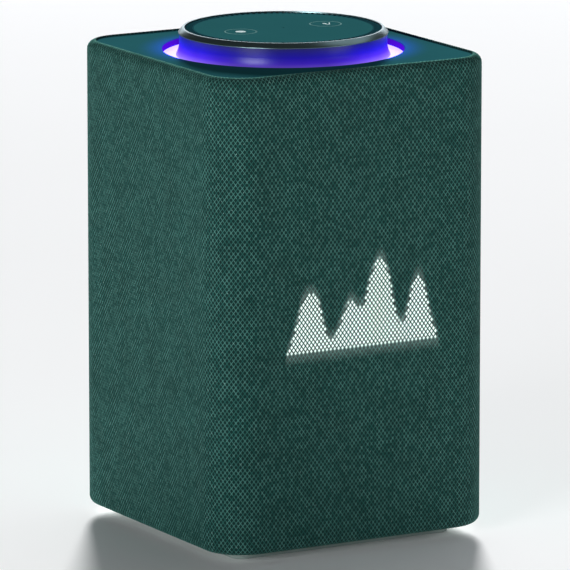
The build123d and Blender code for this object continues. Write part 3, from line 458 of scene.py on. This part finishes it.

# The ribs in front of the lit pockets are painted darker, a painted shade so that they stand dark
# against the light.
backlit_rib_painted_shade = add_node(
    tree, "ShaderNodeMapRange", {"Value": over_peaks, "To Min": 1.0, "To Max": 0.35}
).outputs[0]
for share in (shade, backlit_rib_painted_shade):
    cloth_tone = add_node(
        tree, "ShaderNodeVectorMath", {0: cloth_tone, "Scale": share}, operation="SCALE"
    ).outputs[0]
relief = add_node(
    tree, "ShaderNodeMath", {0: pocket, 1: -0.5, 2: fibres}, operation="MULTIPLY_ADD"
).outputs[0]
cloth = {
    "Base Color": cloth_tone,
    "Roughness": 0.86,
    "Specular IOR Level": 0.25,
    "Sheen Weight": 0.25,
    "Sheen Roughness": 0.45,
    "Sheen Tint": linear("7fd0c0"),
    "Emission Color": linear("eafff8"),
    "Emission Strength": glow_share,
}
surface(tree, cloth, relief, strength=0.55, depth=0.35)

sleeve = mesh_object("fabric_cover", cloth_points[used], cloth_faces, knitted_polyester)
lattice = sleeve.data.uv_layers.new(name="lattice")
corners = np.array([p for face in cloth_places for p in face], float)
lattice.data.foreach_set("uv", corners.ravel())
sleeve.data.polygons.foreach_set("use_smooth", [True] * len(sleeve.data.polygons))
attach(sleeve, "housing")
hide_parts("fabric_sleeve")


# ---- Grille shell --------------------------------------------------------------------
# The stiff sleeve under the fabric, moulded in black ABS with rows of sound slots. It is
# clamped between the base and the top deck, and the fabric is pulled over it.


def finish_nodes(material, *names):
    """Gives every one of these carried-over pieces this finish."""
    for name in names:
        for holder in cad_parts[name].material_slots:
            holder.material = material


def mottled(tree, place, size, detail, colour, shade_colour):
    """Noise of this size in millimetres, and a colour that drifts with it to a second one."""
    noise = {"Vector": place, "Scale": 1 / (size * MM), "Detail": detail}
    noise = add_node(tree, "ShaderNodeTexNoise", noise).outputs["Fac"]
    tones = {"Factor": noise, "A": linear(colour), "B": linear(shade_colour)}
    return noise, add_node(tree, "ShaderNodeMix", tones, data_type="RGBA").outputs["Result"]


def moulded(name, colour, shade_colour, grain, rough, shine):
    """A moulded plastic in two near colours, with a mould grain of this size in millimetres."""
    material, tree, place = start_material(name)
    flow, texture = [
        add_node(tree, "ShaderNodeTexNoise", {"Vector": place, "Scale": 1 / size, "Detail": detail})
        for size, detail in ((22 * MM, 3.0), (grain * MM, 2.0))
    ]
    drift = add_node(
        tree,
        "ShaderNodeMapRange",
        {"Value": flow.outputs["Fac"], "From Min": 0.3, "From Max": 0.7},
    )
    tone = add_node(
        tree,
        "ShaderNodeMix",
        {"Factor": drift.outputs[0], "A": linear(colour), "B": linear(shade_colour)},
        data_type="RGBA",
    )
    gloss = add_node(
        tree,
        "ShaderNodeMapRange",
        {"Value": texture.outputs["Fac"], "To Min": rough - 0.06, "To Max": rough + 0.08},
    )
    plastic = {
        "Base Color": tone.outputs["Result"],
        "Roughness": gloss.outputs[0],
        "Specular IOR Level": shine,
    }
    surface(tree, plastic, texture.outputs["Fac"], strength=0.25)
    return material


# ABS from a spark-eroded mould: an even satin black with a 0.35 mm grain.
moulded_black_abs = moulded("moulded_black_abs", "141617", "1b1d1f", 0.35, 0.5, 0.45)
finish_nodes(moulded_black_abs, "grille_shell")


# ---- Foot and base plate -------------------------------------------------------------
# A non-slip pad of silicone rubber, glued into the underside of a moulded base plate.
# The plate closes the sleeve's bottom, and the pad shows as a pale band under it.

# Silicone rubber: dead matt, a grey green, with a fine moulding grain of 0.3 mm.
silicone_rubber = moulded("silicone_rubber", "93a39d", "9fada8", 0.3, 0.8, 0.3)
finish_nodes(silicone_rubber, "foot_pad")

# ABS in a grey green, paler than the fabric, with a 0.4 mm mould grain.
moulded_grey_green_abs = moulded("moulded_grey_green_abs", "cfd8d4", "d8e1dd", 0.4, 0.55, 0.4)
finish_nodes(moulded_grey_green_abs, "base_plate")


# ---- Top panel -----------------------------------------------------------------------
# A square plate moulded in ABS and sprayed with a matt teal soft-feel paint. It clips
# down inside the fabric's rolled edge, and its round opening is the well for the light.

well_radius = 54.6
spill_reach = 13.0
ring_lit_side = math.radians(-29.9)  # the light ring is brightest on this line


def reach_from_axis(tree, place):
    """The distance from the speaker's axis in metres, the light ring's brightness, and height."""
    parts = add_node(tree, "ShaderNodeSeparateXYZ", {"Vector": place})
    flat = {"X": parts.outputs["X"], "Y": parts.outputs["Y"]}
    flat = add_node(tree, "ShaderNodeCombineXYZ", flat).outputs[0]
    reach = add_node(tree, "ShaderNodeVectorMath", {0: flat}, operation="LENGTH").outputs["Value"]
    way = add_node(tree, "ShaderNodeVectorMath", {0: flat}, operation="NORMALIZE").outputs[0]
    along = add_node(
        tree,
        "ShaderNodeVectorMath",
        {0: way, 1: (math.cos(ring_lit_side), math.sin(ring_lit_side), 0.0)},
        operation="DOT_PRODUCT",
    ).outputs["Value"]
    bright = add_node(tree, "ShaderNodeMath", {0: along}, operation="ABSOLUTE").outputs[0]
    return reach, bright, parts.outputs["Z"]


# Soft-feel paint: a smooth matt teal with a faint 0.5 mm orange-peel, and a painted glow:
# the blue of the ring light spilling over it from the well, strongest at the two ends on the
# ring's bright line.
painted_teal, tree, place = start_material("soft_feel_teal_paint")
reach, bright, _ = reach_from_axis(tree, place)
peel = {"Vector": place, "Scale": 1 / (0.5 * MM), "Detail": 2.0}
peel = add_node(tree, "ShaderNodeTexNoise", peel).outputs["Fac"]
_, tone = mottled(tree, place, 35, 2.0, "25595e", "296268")
edge, spill_end = well_radius * MM, (well_radius + spill_reach) * MM
spill = add_node(
    tree,
    "ShaderNodeMapRange",
    {"Value": reach, "From Min": edge, "From Max": spill_end, "To Min": 1.0, "To Max": 0.0},
).outputs[0]
spill = add_node(tree, "ShaderNodeMath", {0: spill, 1: 2.2}, operation="POWER").outputs[0]
side = add_node(
    tree,
    "ShaderNodeMapRange",
    {"Value": bright, "From Min": 0.70, "From Max": 1.0, "To Min": 0.03, "To Max": 1.0},
    interpolation_type="SMOOTHSTEP",
).outputs[0]
spill = add_node(tree, "ShaderNodeMath", {0: spill, 1: side}, operation="MULTIPLY").outputs[0]
# The well's wall is what lies within a tenth of a millimetre of its radius. It is painted a
# dark violet with a faint violet glow, painted light from the ring below it.
wall, wall_end = (well_radius + 0.02) * MM, (well_radius + 0.12) * MM
on_wall = add_node(
    tree,
    "ShaderNodeMapRange",
    {"Value": reach, "From Min": wall, "From Max": wall_end, "To Min": 1.0, "To Max": 0.0},
).outputs[0]
spilled, tone = [
    add_node(
        tree, "ShaderNodeMix", {"Factor": on_wall, "A": away, "B": linear(near)}, data_type="RGBA"
    ).outputs["Result"]
    for away, near in ((linear("1c3fe0"), "6a10ff"), (tone, "160c38"))
]
strength = add_node(
    tree, "ShaderNodeMath", {0: on_wall, 1: 0.2, 2: spill}, operation="MULTIPLY_ADD"
).outputs[0]
strength = add_node(tree, "ShaderNodeMath", {0: strength, 1: 0.46}, operation="MULTIPLY").outputs[0]
paint = {
    "Base Color": tone,
    "Roughness": 0.7,
    "Specular IOR Level": 0.0,
    "Emission Color": spilled,
    "Emission Strength": strength,
}
surface(tree, paint, peel, strength=0.15)
finish_nodes(painted_teal, "top_panel")


# ---- Light ring ----------------------------------------------------------------------
# Twenty-four side by side LEDs on a ring-shaped board shine up through a ring of opal
# polycarbonate, which closes the well's floor and spreads their light.

# Opal polycarbonate lit from below: a blue violet glow, strongest on the ring's bright line.
ring_glow = 12.0
lit_opal, tree, place = start_material("lit_opal_polycarbonate")
_, bright, _ = reach_from_axis(tree, place)
over_leds = add_node(
    tree,
    "ShaderNodeMapRange",
    {"Value": bright, "From Min": 0.0, "From Max": 1.0, "To Min": 0.18, "To Max": 1.0},
    interpolation_type="SMOOTHSTEP",
).outputs[0]
haze = add_node(tree, "ShaderNodeTexNoise", {"Vector": place, "Scale": 1 / (3 * MM), "Detail": 2.0})
haze = add_node(
    tree, "ShaderNodeMapRange", {"Value": haze.outputs["Fac"], "To Min": 0.9, "To Max": 1.1}
).outputs[0]
strength = over_leds
for share in (haze, ring_glow):
    strength = add_node(
        tree, "ShaderNodeMath", {0: strength, 1: share}, operation="MULTIPLY"
    ).outputs[0]
opal = {
    "Base Color": linear("24222e"),
    "Roughness": 0.4,
    "Emission Color": linear("4c43ff"),
    "Emission Strength": strength,
}
surface(tree, opal)
finish_nodes(lit_opal, "light_diffuser")

# Epoxy glass board under a dark green solder mask, with 0.5 mm copper tracks showing
# through it as a fine maze.
solder_mask, tree, place = start_material("solder_masked_epoxy_board")
maze = add_node(
    tree,
    "ShaderNodeTexVoronoi",
    {"Vector": place, "Scale": 1 / (2.5 * MM), "Randomness": 0.35},
    distance="MANHATTAN",
    feature="F1",
)
tracks = add_node(
    tree, "ShaderNodeMath", {0: maze.outputs["Distance"], 1: 0.22}, operation="PINGPONG"
).outputs[0]
track = add_node(
    tree, "ShaderNodeMapRange", {"Value": tracks, "From Min": 0.07, "From Max": 0.09}
).outputs[0]
tone = add_node(
    tree,
    "ShaderNodeMix",
    {"Factor": track, "A": linear("0d3a26"), "B": linear("1b5a38")},
    data_type="RGBA",
)
board = {"Base Color": tone.outputs["Result"], "Roughness": 0.35}
surface(tree, board, track, strength=0.3, depth=0.03)
finish_nodes(solder_mask, "led_board", "button_board", "matrix_board", "main_board")

# White reflector packages, with a yellow tint where the resin covers the chip.
led_circle = 52.0  # the radius that the LEDs stand on
led_resin, tree, place = start_material("moulded_led_package")
reach, _, _ = reach_from_axis(tree, place)
window = add_node(
    tree, "ShaderNodeMath", {0: reach, 1: led_circle * MM}, operation="SUBTRACT"
).outputs[0]
window = add_node(tree, "ShaderNodeMath", {0: window}, operation="ABSOLUTE").outputs[0]
window = add_node(
    tree, "ShaderNodeMapRange", {"Value": window, "From Min": 1.0 * MM, "From Max": 1.3 * MM}
).outputs[0]
tone = add_node(
    tree,
    "ShaderNodeMix",
    {"Factor": window, "A": linear("d8c860"), "B": linear("ecebe4")},
    data_type="RGBA",
)
surface(tree, {"Base Color": tone.outputs["Result"], "Roughness": 0.3})
finish_nodes(led_resin, "ring_leds")


# ---- Top deck ------------------------------------------------------------------------
# A black ABS plate across the sleeve that carries the light ring and the turret. The top
# panel's bosses are screwed to it from below with zinc-plated steel screws.

finish_nodes(moulded_black_abs, "top_deck")


def bare_metal(tree, tone, pattern, least_rough, most_rough):
    """Ends a material in bare metal that this pattern makes rougher in places."""
    rough = {"Value": pattern, "To Min": least_rough, "To Max": most_rough}
    rough = add_node(tree, "ShaderNodeMapRange", rough).outputs[0]
    surface(tree, {"Base Color": tone, "Metallic": 1.0, "Roughness": rough})


# Zinc-plated steel: a bluish bright metal, slightly mottled by the plating bath.
plated_steel, tree, place = start_material("zinc_plated_steel")
bath, tone = mottled(tree, place, 1.2, 3.0, "a9adb3", "c5c7c9")
bare_metal(tree, tone, bath, 0.25, 0.42)
finish_nodes(plated_steel, "deck_screws", "case_screws", "woofer_screws")


# ---- Volume ring ---------------------------------------------------------------------
# The ring that the hand turns: a bevelled aluminium rim, turned and anodised, pressed on
# a translucent skirt that rides round the turret and glows from the light under it. A
# slotted encoder ring inside the skirt is read by the sensors.

rim_inner, rim_outer = 44.5, 47.3
rim_low, rim_high = 225.9, 228.3
rim_band, rim_bevel = 0.35, 1.9
rim_easing = 0.08  # the radius on its edges
rim_steps = 288
skirt_foot = 216.1


def eased(outline, radius):
    """The outline with each corner rounded by three points."""
    made = []
    for k, corner in enumerate(outline):
        corner = np.array(corner, float)
        for t in (0.0, 0.5, 1.0):
            before = np.array(outline[k - 1], float) - corner
            after = np.array(outline[(k + 1) % len(outline)], float) - corner
            start = corner + before / np.linalg.norm(before) * radius
            end = corner + after / np.linalg.norm(after) * radius
            made.append((1 - t) ** 2 * start + 2 * t * (1 - t) * corner + t * t * end)
    return made


def turned(name, outline, material, steps):
    """A ring turned about the speaker's axis from an anticlockwise outline of radius, height."""
    points, faces = [], []
    for i in range(steps):
        a = 2 * math.pi * i / steps
        points += [(r * math.cos(a) * MM, r * math.sin(a) * MM, z * MM) for r, z in outline]
    n = len(outline)
    for i in range(steps):
        for k in range(n):
            here, there = i * n, (i + 1) % steps * n
            faces.append((here + k, there + k, there + (k + 1) % n, here + (k + 1) % n))
    made = mesh_object(name, points, faces, material)
    made.data.polygons.foreach_set("use_smooth", [True] * len(faces))
    made.data.set_sharp_from_angle(angle=math.radians(32))
    return made


# Anodised aluminium: turned, so fine rings run round it, and dyed a faint cool green.
# The rings are 0.25 mm apart, coarser than a real tool leaves, so that they show.
anodised, tree, place = start_material("turned_anodised_aluminium")
reach, _, height = reach_from_axis(tree, place)
lines = add_node(tree, "ShaderNodeMath", {0: reach, 1: height}, operation="SUBTRACT").outputs[0]
lines = add_node(tree, "ShaderNodeCombineXYZ", {"X": lines}).outputs[0]
tool_marks = {"Vector": lines, "Scale": 1 / (0.25 * MM), "Detail": 1.0}
tool_marks = add_node(tree, "ShaderNodeTexNoise", tool_marks).outputs["Fac"]
_, tone = mottled(tree, place, 6, 3.0, "728b8d", "88a1a4")
rough = add_node(
    tree, "ShaderNodeMapRange", {"Value": tool_marks, "To Min": 0.24, "To Max": 0.36}
).outputs[0]
metal = {"Base Color": tone, "Metallic": 1.0, "Roughness": rough}
surface(tree, metal, tool_marks, strength=0.25, depth=0.01)

rim_outline = [
    (rim_inner, rim_low),
    (rim_outer, rim_low),
    (rim_outer, rim_low + rim_band),
    (rim_outer - rim_bevel, rim_high),
    (rim_inner, rim_high),
]
rim = turned("bevelled_rim", eased(rim_outline, rim_easing), anodised, rim_steps)
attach(rim, "volume_ring")
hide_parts("volume_rim")

# Translucent polycarbonate with a painted glow for the light from below: lilac at its foot,
# deep blue under the rim.
glowing_skirt, tree, place = start_material("translucent_lit_polycarbonate")
_, bright, height = reach_from_axis(tree, place)
up = add_node(
    tree,
    "ShaderNodeMapRange",
    {"Value": height, "From Min": skirt_foot * MM, "From Max": rim_low * MM},
).outputs[0]
# The painted glow is stronger at the two ends on the ring's bright line.
ends = add_node(
    tree,
    "ShaderNodeMapRange",
    {"Value": bright, "From Min": 0.4, "From Max": 0.95, "To Min": 0.40, "To Max": 1.0},
    interpolation_type="SMOOTHSTEP",
).outputs[0]
tone = add_node(tree, "ShaderNodeValToRGB", {"Fac": up})
stops = [
    (0.0, "b096ff"), (0.12, "8a64fb"), (0.3, "5a34f8"),
    (0.55, "2a12e0"), (0.8, "180ab4"), (1.0, "120f7c"),
]
for height_share, _ in stops[1:-1]:
    tone.color_ramp.elements.new(height_share)
for stop, (height_share, code) in zip(tone.color_ramp.elements, stops):
    stop.position, stop.color = height_share, linear(code)
swirl = {"Vector": place, "Scale": 1 / (9 * MM), "Detail": 1.0}
swirl = add_node(tree, "ShaderNodeTexNoise", swirl).outputs["Fac"]
swirl = add_node(
    tree, "ShaderNodeMapRange", {"Value": swirl, "To Min": 0.85, "To Max": 1.1}
).outputs[0]
strength = add_node(tree, "ShaderNodeMath", {0: swirl, 1: ends}, operation="MULTIPLY").outputs[0]
skirt = {
    "Base Color": linear("0a0a3c"),
    "Roughness": 0.3,
    "Specular IOR Level": 0.4,
    "Emission Color": tone.outputs["Color"],
    "Emission Strength": strength,
}
surface(tree, skirt)
finish_nodes(glowing_skirt, "ring_skirt")
finish_nodes(moulded_black_abs, "encoder_ring")


# ---- Turret --------------------------------------------------------------------------
# A black ABS cup screwed to the deck. The volume ring turns round it on a slippery
# acetal bearing ring and is held down by an acetal retainer in a groove.

finish_nodes(moulded_black_abs, "turret", "encoder_sensors")

# Acetal: a waxy off-white that is turned from tube, with a 0.3 mm tool pitch.
turned_acetal = moulded("turned_acetal", "d9d6cc", "e2dfd6", 0.3, 0.35, 0.5)
finish_nodes(turned_acetal, "bearing_ring", "retainer_ring")


# ---- Slotted ring --------------------------------------------------------------------
# A ring of teal ABS between the rim and the control panel, with a slot every few degrees
# that leads sound down to the microphones.

slot_count, slot_width, slot_depth = 96, 1.4, 1.5
slots_inner, slots_outer, slots_wall = 40.5, 44.1, 0.4
slots_low, slots_high = 225.5, 227.9

# One slot with half a tooth on each side, open at both ends; the tree repeats it.
half_turn = math.pi / slot_count
slot_lip = slots_inner + slots_wall
slot_floor = slots_high - slot_depth
half_slot = slot_width / 2


def on_circle(radius, side):
    """A point at this radius on the edge of the repeated piece."""
    return (radius * math.cos(half_turn), side * radius * math.sin(half_turn))


def on_slot(radius, side):
    """A point at this radius on a side wall of the slot."""
    return (math.sqrt(radius**2 - half_slot**2), side * half_slot)


slot_points, slot_faces, numbers = [], [], {}
levels = {"top": slots_high, "bottom": slots_low, "floor": slot_floor}
for side in (-1, 1):
    for label, spot in (
        ("edge_in", on_circle(slots_inner, side)),
        ("edge_lip", on_circle(slot_lip, side)),
        ("edge_out", on_circle(slots_outer, side)),
        ("slot_in", on_slot(slots_inner, side)),
        ("slot_lip", on_slot(slot_lip, side)),
        ("slot_out", on_slot(slots_outer, side)),
    ):
        for level, z in levels.items():
            if level != "floor" or label in ("slot_lip", "slot_out"):
                numbers[f"{level} {label}", side] = len(slot_points)
                slot_points.append((spot[0] * MM, spot[1] * MM, z * MM))

# The faces on each side of the slot, and then those across it, whose second half runs back
# along the other side.
side_faces = [
    "top edge_in, top edge_lip, top slot_lip, top slot_in",
    "top edge_lip, top edge_out, top slot_out, top slot_lip",
    "top slot_lip, top slot_out, floor slot_out, floor slot_lip",
    "top edge_out, bottom edge_out, bottom slot_out, floor slot_out, top slot_out",
    "top slot_in, bottom slot_in, bottom edge_in, top edge_in",
    "bottom edge_in, bottom slot_in, bottom slot_lip, bottom edge_lip",
    "bottom edge_lip, bottom slot_lip, bottom slot_out, bottom edge_out",
]
for side in (-1, 1):
    for face in side_faces:
        face = [numbers[label, side] for label in face.split(", ")]
        slot_faces.append(face if side < 0 else face[::-1])
cross_faces = [
    ("top slot_in", "top slot_lip", -1),
    ("top slot_lip", "floor slot_lip", -1),
    ("floor slot_lip", "floor slot_out", -1),
    ("floor slot_out", "bottom slot_out", -1),
    ("top slot_in", "bottom slot_in", 1),
    ("bottom slot_in", "bottom slot_lip", 1),
    ("bottom slot_lip", "bottom slot_out", 1),
]
for one, two, side in cross_faces:
    slot_faces.append(
        [numbers[one, side], numbers[two, side], numbers[two, -side], numbers[one, -side]]
    )

# ABS moulded in the paint's teal, matt, with a 0.3 mm grain. The inside of the slots is
# painted near black, a painted shade.
moulded_teal_abs, tree, place = start_material("moulded_teal_abs")
height = add_node(tree, "ShaderNodeSeparateXYZ", {"Vector": place}).outputs["Z"]
grain, top_tone = mottled(tree, place, 0.3, 2.0, "1d4750", "235058")
dark_below, pale_above = (slots_high - 0.25) * MM, (slots_high - 0.05) * MM
face = add_node(
    tree,
    "ShaderNodeMapRange",
    {"Value": height, "From Min": dark_below, "From Max": pale_above},
).outputs[0]
# Painted shade: near black below the top face, the teal only on it.
tone = add_node(
    tree,
    "ShaderNodeMix",
    {"Factor": face, "A": linear("04090b"), "B": top_tone},
    data_type="RGBA",
)
plastic = {"Base Color": tone.outputs["Result"], "Roughness": 0.65, "Specular IOR Level": 0.0}
surface(tree, plastic, grain, strength=0.2)

repeat = bpy.data.node_groups.new("slots_round_ring", "GeometryNodeTree")
_, count_socket, weld_socket, finish_socket = [
    repeat.interface.new_socket(label, in_out="INPUT", socket_type="NodeSocket" + kind)
    for label, kind in (
        ("Geometry", "Geometry"),
        ("Slot Count", "Int"),
        ("Weld Distance", "Float"),
        ("Finish", "Material"),
    )
]
repeat.interface.new_socket("Geometry", in_out="OUTPUT", socket_type="NodeSocketGeometry")
given = add_node(repeat, "NodeGroupInput")
hub = add_node(repeat, "GeometryNodePoints", {"Count": given.outputs["Slot Count"]})
step = {0: 2 * math.pi, 1: given.outputs["Slot Count"]}
step = add_node(repeat, "ShaderNodeMath", step, operation="DIVIDE").outputs[0]
number = add_node(repeat, "GeometryNodeInputIndex").outputs[0]
turn = add_node(repeat, "ShaderNodeMath", {0: number, 1: step}, operation="MULTIPLY")
aim = add_node(repeat, "ShaderNodeCombineXYZ", {"Z": turn.outputs[0]})
copies = add_node(
    repeat,
    "GeometryNodeInstanceOnPoints",
    {"Points": hub.outputs[0], "Instance": given.outputs["Geometry"], "Rotation": aim.outputs[0]},
)
whole = add_node(repeat, "GeometryNodeRealizeInstances", {"Geometry": copies.outputs[0]})
welded = add_node(
    repeat,
    "GeometryNodeMergeByDistance",
    {"Geometry": whole.outputs[0], "Distance": given.outputs["Weld Distance"]},
)
finished = add_node(
    repeat,
    "GeometryNodeSetMaterial",
    {"Geometry": welded.outputs[0], "Material": given.outputs["Finish"]},
)
add_node(repeat, "NodeGroupOutput", {"Geometry": finished.outputs[0]})

slots = mesh_object("slotted_ring", slot_points, slot_faces, moulded_teal_abs)
maker = slots.modifiers.new("repeat", "NODES")
maker.node_group = repeat
maker[count_socket.identifier] = slot_count
maker[weld_socket.identifier] = 0.01 * MM
maker[finish_socket.identifier] = moulded_teal_abs
settled = slots.evaluated_get(bpy.context.evaluated_depsgraph_get())
whole_ring = bpy.data.meshes.new_from_object(settled)
slots.modifiers.clear()
slots.data = whole_ring
slots.data.materials.clear()
slots.data.materials.append(moulded_teal_abs)
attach(slots, "housing")
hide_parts("slot_ring")


# ---- Control panel and buttons -------------------------------------------------------
# A round ABS panel in the same teal paint, with two push-buttons and a microphone hole.
# The buttons press down on switches on a small board; their marks are moulded in white.

button_offset, button_radius = 22.0, 7.1

# The same soft-feel paint, away from the light, with a painted highlight round each button's edge.
painted_controls, tree, place = start_material("soft_feel_teal_controls")
parts = add_node(tree, "ShaderNodeSeparateXYZ", {"Vector": place})
across = add_node(tree, "ShaderNodeMath", {0: parts.outputs["X"]}, operation="ABSOLUTE").outputs[0]
across = add_node(
    tree, "ShaderNodeMath", {0: across, 1: button_offset * MM}, operation="SUBTRACT"
).outputs[0]
flat = add_node(tree, "ShaderNodeCombineXYZ", {"X": across, "Y": parts.outputs["Y"]}).outputs[0]
reach = add_node(tree, "ShaderNodeVectorMath", {0: flat}, operation="LENGTH").outputs["Value"]
off_edge = add_node(
    tree, "ShaderNodeMath", {0: reach, 1: button_radius * MM}, operation="SUBTRACT"
).outputs[0]
off_edge = add_node(tree, "ShaderNodeMath", {0: off_edge}, operation="ABSOLUTE").outputs[0]
# A thin painted highlight round each button's edge.
edge_highlight_full, edge_highlight_fade = 0.18 * MM, 0.34 * MM
edge = add_node(
    tree,
    "ShaderNodeMapRange",
    {"Value": off_edge, "From Min": edge_highlight_full, "From Max": edge_highlight_fade, "To Min": 1.0, "To Max": 0.0},
).outputs[0]
peel = {"Vector": place, "Scale": 1 / (0.5 * MM), "Detail": 2.0}
peel = add_node(tree, "ShaderNodeTexNoise", peel).outputs["Fac"]
_, tone = mottled(tree, place, 30, 2.0, "265a5e", "296063")
tone = add_node(
    tree, "ShaderNodeMix", {"Factor": edge, "A": tone, "B": linear("9cc4c2")}, data_type="RGBA"
).outputs["Result"]
paint = {"Base Color": tone, "Roughness": 0.7, "Specular IOR Level": 0.0}
surface(tree, paint, peel, strength=0.15)
finish_nodes(painted_controls, "control_panel", "action_button", "mute_button")

# Pale ABS, shot into the button before the teal, so that the marks never wear off.
moulded_white_mark = moulded("moulded_white_abs", "b8d0cf", "c2d8d6", 0.3, 0.45, 0.3)
finish_nodes(moulded_white_mark, "action_icon", "mute_icon")
finish_nodes(moulded_black_abs, "tact_switches")

# Microphone cans: drawn steel plated like the screws.
finish_nodes(plated_steel, "microphones")


# ---- Enclosure -----------------------------------------------------------------------
# A sealed box in thick black ABS that holds all five drivers. A back plate closes it
# on a foam gasket, and a port lets the bass out.

finish_nodes(moulded_black_abs, "enclosure_body", "enclosure_back", "bass_port")

# Closed-cell rubber foam, matt, with 0.6 mm cells.
foam_rubber = moulded("closed_cell_foam_rubber", "1c1c1c", "262626", 0.6, 0.9, 0.2)
finish_nodes(foam_rubber, "enclosure_gasket")


# ---- Woofer --------------------------------------------------------------------------
# A bass driver: a pressed steel basket with its magnet, plates and yoke behind, and a
# paper cone on a rubber surround and a cloth spider, driven by a copper voice coil.

# Pressed steel, blackened by electrophoretic paint with a faint orange-peel.
painted_steel = moulded("black_painted_steel", "17191b", "202325", 0.9, 0.38, 0.5)
finish_nodes(painted_steel, "woofer_basket", "mid_frames", "tweeter_frames")

# Turned low-carbon steel, passivated to a warm grey, with rings of 0.3 mm tool marks.
turned_steel, tree, place = start_material("turned_passivated_steel")
marks = {"Vector": place, "Scale": 1 / (0.3 * MM), "Detail": 1.0}
marks = add_node(tree, "ShaderNodeTexNoise", marks).outputs["Fac"]
_, tone = mottled(tree, place, 8, 4.0, "8d8a84", "a6a39c")
bare_metal(tree, tone, marks, 0.3, 0.5)
finish_nodes(turned_steel, "woofer_top_plate", "woofer_yoke", "mid_motors", "tweeter_motors")

# Sintered ferrite: a dull charcoal ceramic with a 0.5 mm pitted grain.
sintered_ferrite = moulded("sintered_ferrite", "2b2b2d", "38383b", 0.5, 0.65, 0.5)
finish_nodes(sintered_ferrite, "woofer_magnet")

# Enamelled copper wire wound on a former; the turns are drawn 0.5 mm apart.
wave = 2 * math.pi / 20  # a wave texture of this scale repeats once in a metre
wound_copper, tree, place = start_material("enamelled_copper_winding")
turns = add_node(
    tree,
    "ShaderNodeTexWave",
    {"Vector": place, "Scale": wave / (0.5 * MM), "Distortion": 0.2},
    bands_direction="Y",
)
tone = add_node(
    tree,
    "ShaderNodeMix",
    {"Factor": turns.outputs["Fac"], "A": linear("7a3d1c"), "B": linear("c0713c")},
    data_type="RGBA",
)
copper = {"Base Color": tone.outputs["Result"], "Metallic": 0.9, "Roughness": 0.3}
surface(tree, copper, turns.outputs["Fac"], strength=0.5, depth=0.1)
finish_nodes(wound_copper, "woofer_voice_coil")

# Pressed paper pulp, dyed black: matt, with fibres about 1.5 mm long.
pressed_paper, tree, place = start_material("pressed_paper_pulp")
pulp = add_node(
    tree,
    "ShaderNodeTexNoise",
    {"Vector": place, "Scale": 1 / (1.5 * MM), "Detail": 6.0, "Roughness": 0.7, "Distortion": 1.5},
)
tone = add_node(
    tree,
    "ShaderNodeMix",
    {"Factor": pulp.outputs["Fac"], "A": linear("161616"), "B": linear("343331")},
    data_type="RGBA",
)
paper_cone = {"Base Color": tone.outputs["Result"], "Roughness": 0.8}
surface(tree, paper_cone, pulp.outputs["Fac"], strength=0.4, depth=0.1)
finish_nodes(pressed_paper, "woofer_cone", "woofer_dust_cap", "mid_cone_left", "mid_cone_right")

# Moulded butyl rubber: smooth, black and softly shining.
butyl_rubber = moulded("moulded_butyl_rubber", "131313", "1b1b1b", 0.8, 0.55, 0.5)
finish_nodes(butyl_rubber, "woofer_surround", "mid_surround_left", "mid_surround_right")

# Cotton cloth dipped in resin and hot-pressed: a yellow weave of 0.6 mm threads.
resined_cloth, tree, place = start_material("resin_dipped_cotton")
threads = {"Vector": place, "Scale": wave / (0.6 * MM)}
warp, weft = [
    add_node(tree, "ShaderNodeTexWave", threads, bands_direction=way).outputs["Fac"]
    for way in ("X", "Z")
]
weave = add_node(tree, "ShaderNodeMath", {0: warp, 1: weft}, operation="MULTIPLY")
tone = add_node(
    tree,
    "ShaderNodeMix",
    {"Factor": weave.outputs[0], "A": linear("8a6a2c"), "B": linear("c9a85a")},
    data_type="RGBA",
)
spider = {"Base Color": tone.outputs["Result"], "Roughness": 0.7}
surface(tree, spider, weave.outputs[0], strength=0.5, depth=0.15)
finish_nodes(resined_cloth, "woofer_spider")


# ---- Tweeters ------------------------------------------------------------------------
# Two small treble drivers; each dome is silk cloth, coated and pressed to shape.

# Coated silk: dark grey, with a 0.4 mm weave under the coat.
coated_silk = moulded("coated_silk", "202224", "2a2c2f", 0.4, 0.45, 0.4)
finish_nodes(coated_silk, "tweeter_dome_left", "tweeter_dome_right")


# ---- Light matrix --------------------------------------------------------------------
# A board of LEDs behind the front of the shell, with a moulded guide that keeps the
# light of each one apart until it reaches the fabric.

finish_nodes(moulded_black_abs, "matrix_guide")


# ---- Heat sink -----------------------------------------------------------------------
# A finned sink behind the main board, extruded in aluminium and left plain.

# Extruded aluminium: pale, with die lines running up the fins, 0.8 mm apart.
extruded_aluminium, tree, place = start_material("extruded_aluminium")
drawn_out = {"Vector": place, "Scale": (1.0, 1.0, 0.03)}
drawn_out = add_node(tree, "ShaderNodeMapping", drawn_out).outputs[0]
die_lines, tone = mottled(tree, drawn_out, 0.8, 2.0, "b4b6b8", "cfd1d3")
bare_metal(tree, tone, die_lines, 0.3, 0.5)
finish_nodes(extruded_aluminium, "heat_sink")


# ---- Sockets -------------------------------------------------------------------------
# A black ABS tray let into the back of the sleeve, with the power, video, network and
# audio sockets in its floor. The sockets are soldered to the main board.

finish_nodes(moulded_black_abs, "socket_bay")

# Glass-filled nylon of the socket bodies: a dull dark grey with a 0.25 mm grain.
glass_filled_nylon = moulded("glass_filled_nylon", "1f2123", "2a2c2e", 0.25, 0.6, 0.4)
finish_nodes(glass_filled_nylon, "power_socket", "audio_socket")

# Stamped and nickel-plated steel shells.
nickel_plate, tree, place = start_material("nickel_plated_steel")
rolled, tone = mottled(tree, place, 0.9, 3.0, "b9b4aa", "cdc9c0")
bare_metal(tree, tone, rolled, 0.2, 0.36)
finish_nodes(nickel_plate, "video_socket", "network_socket")
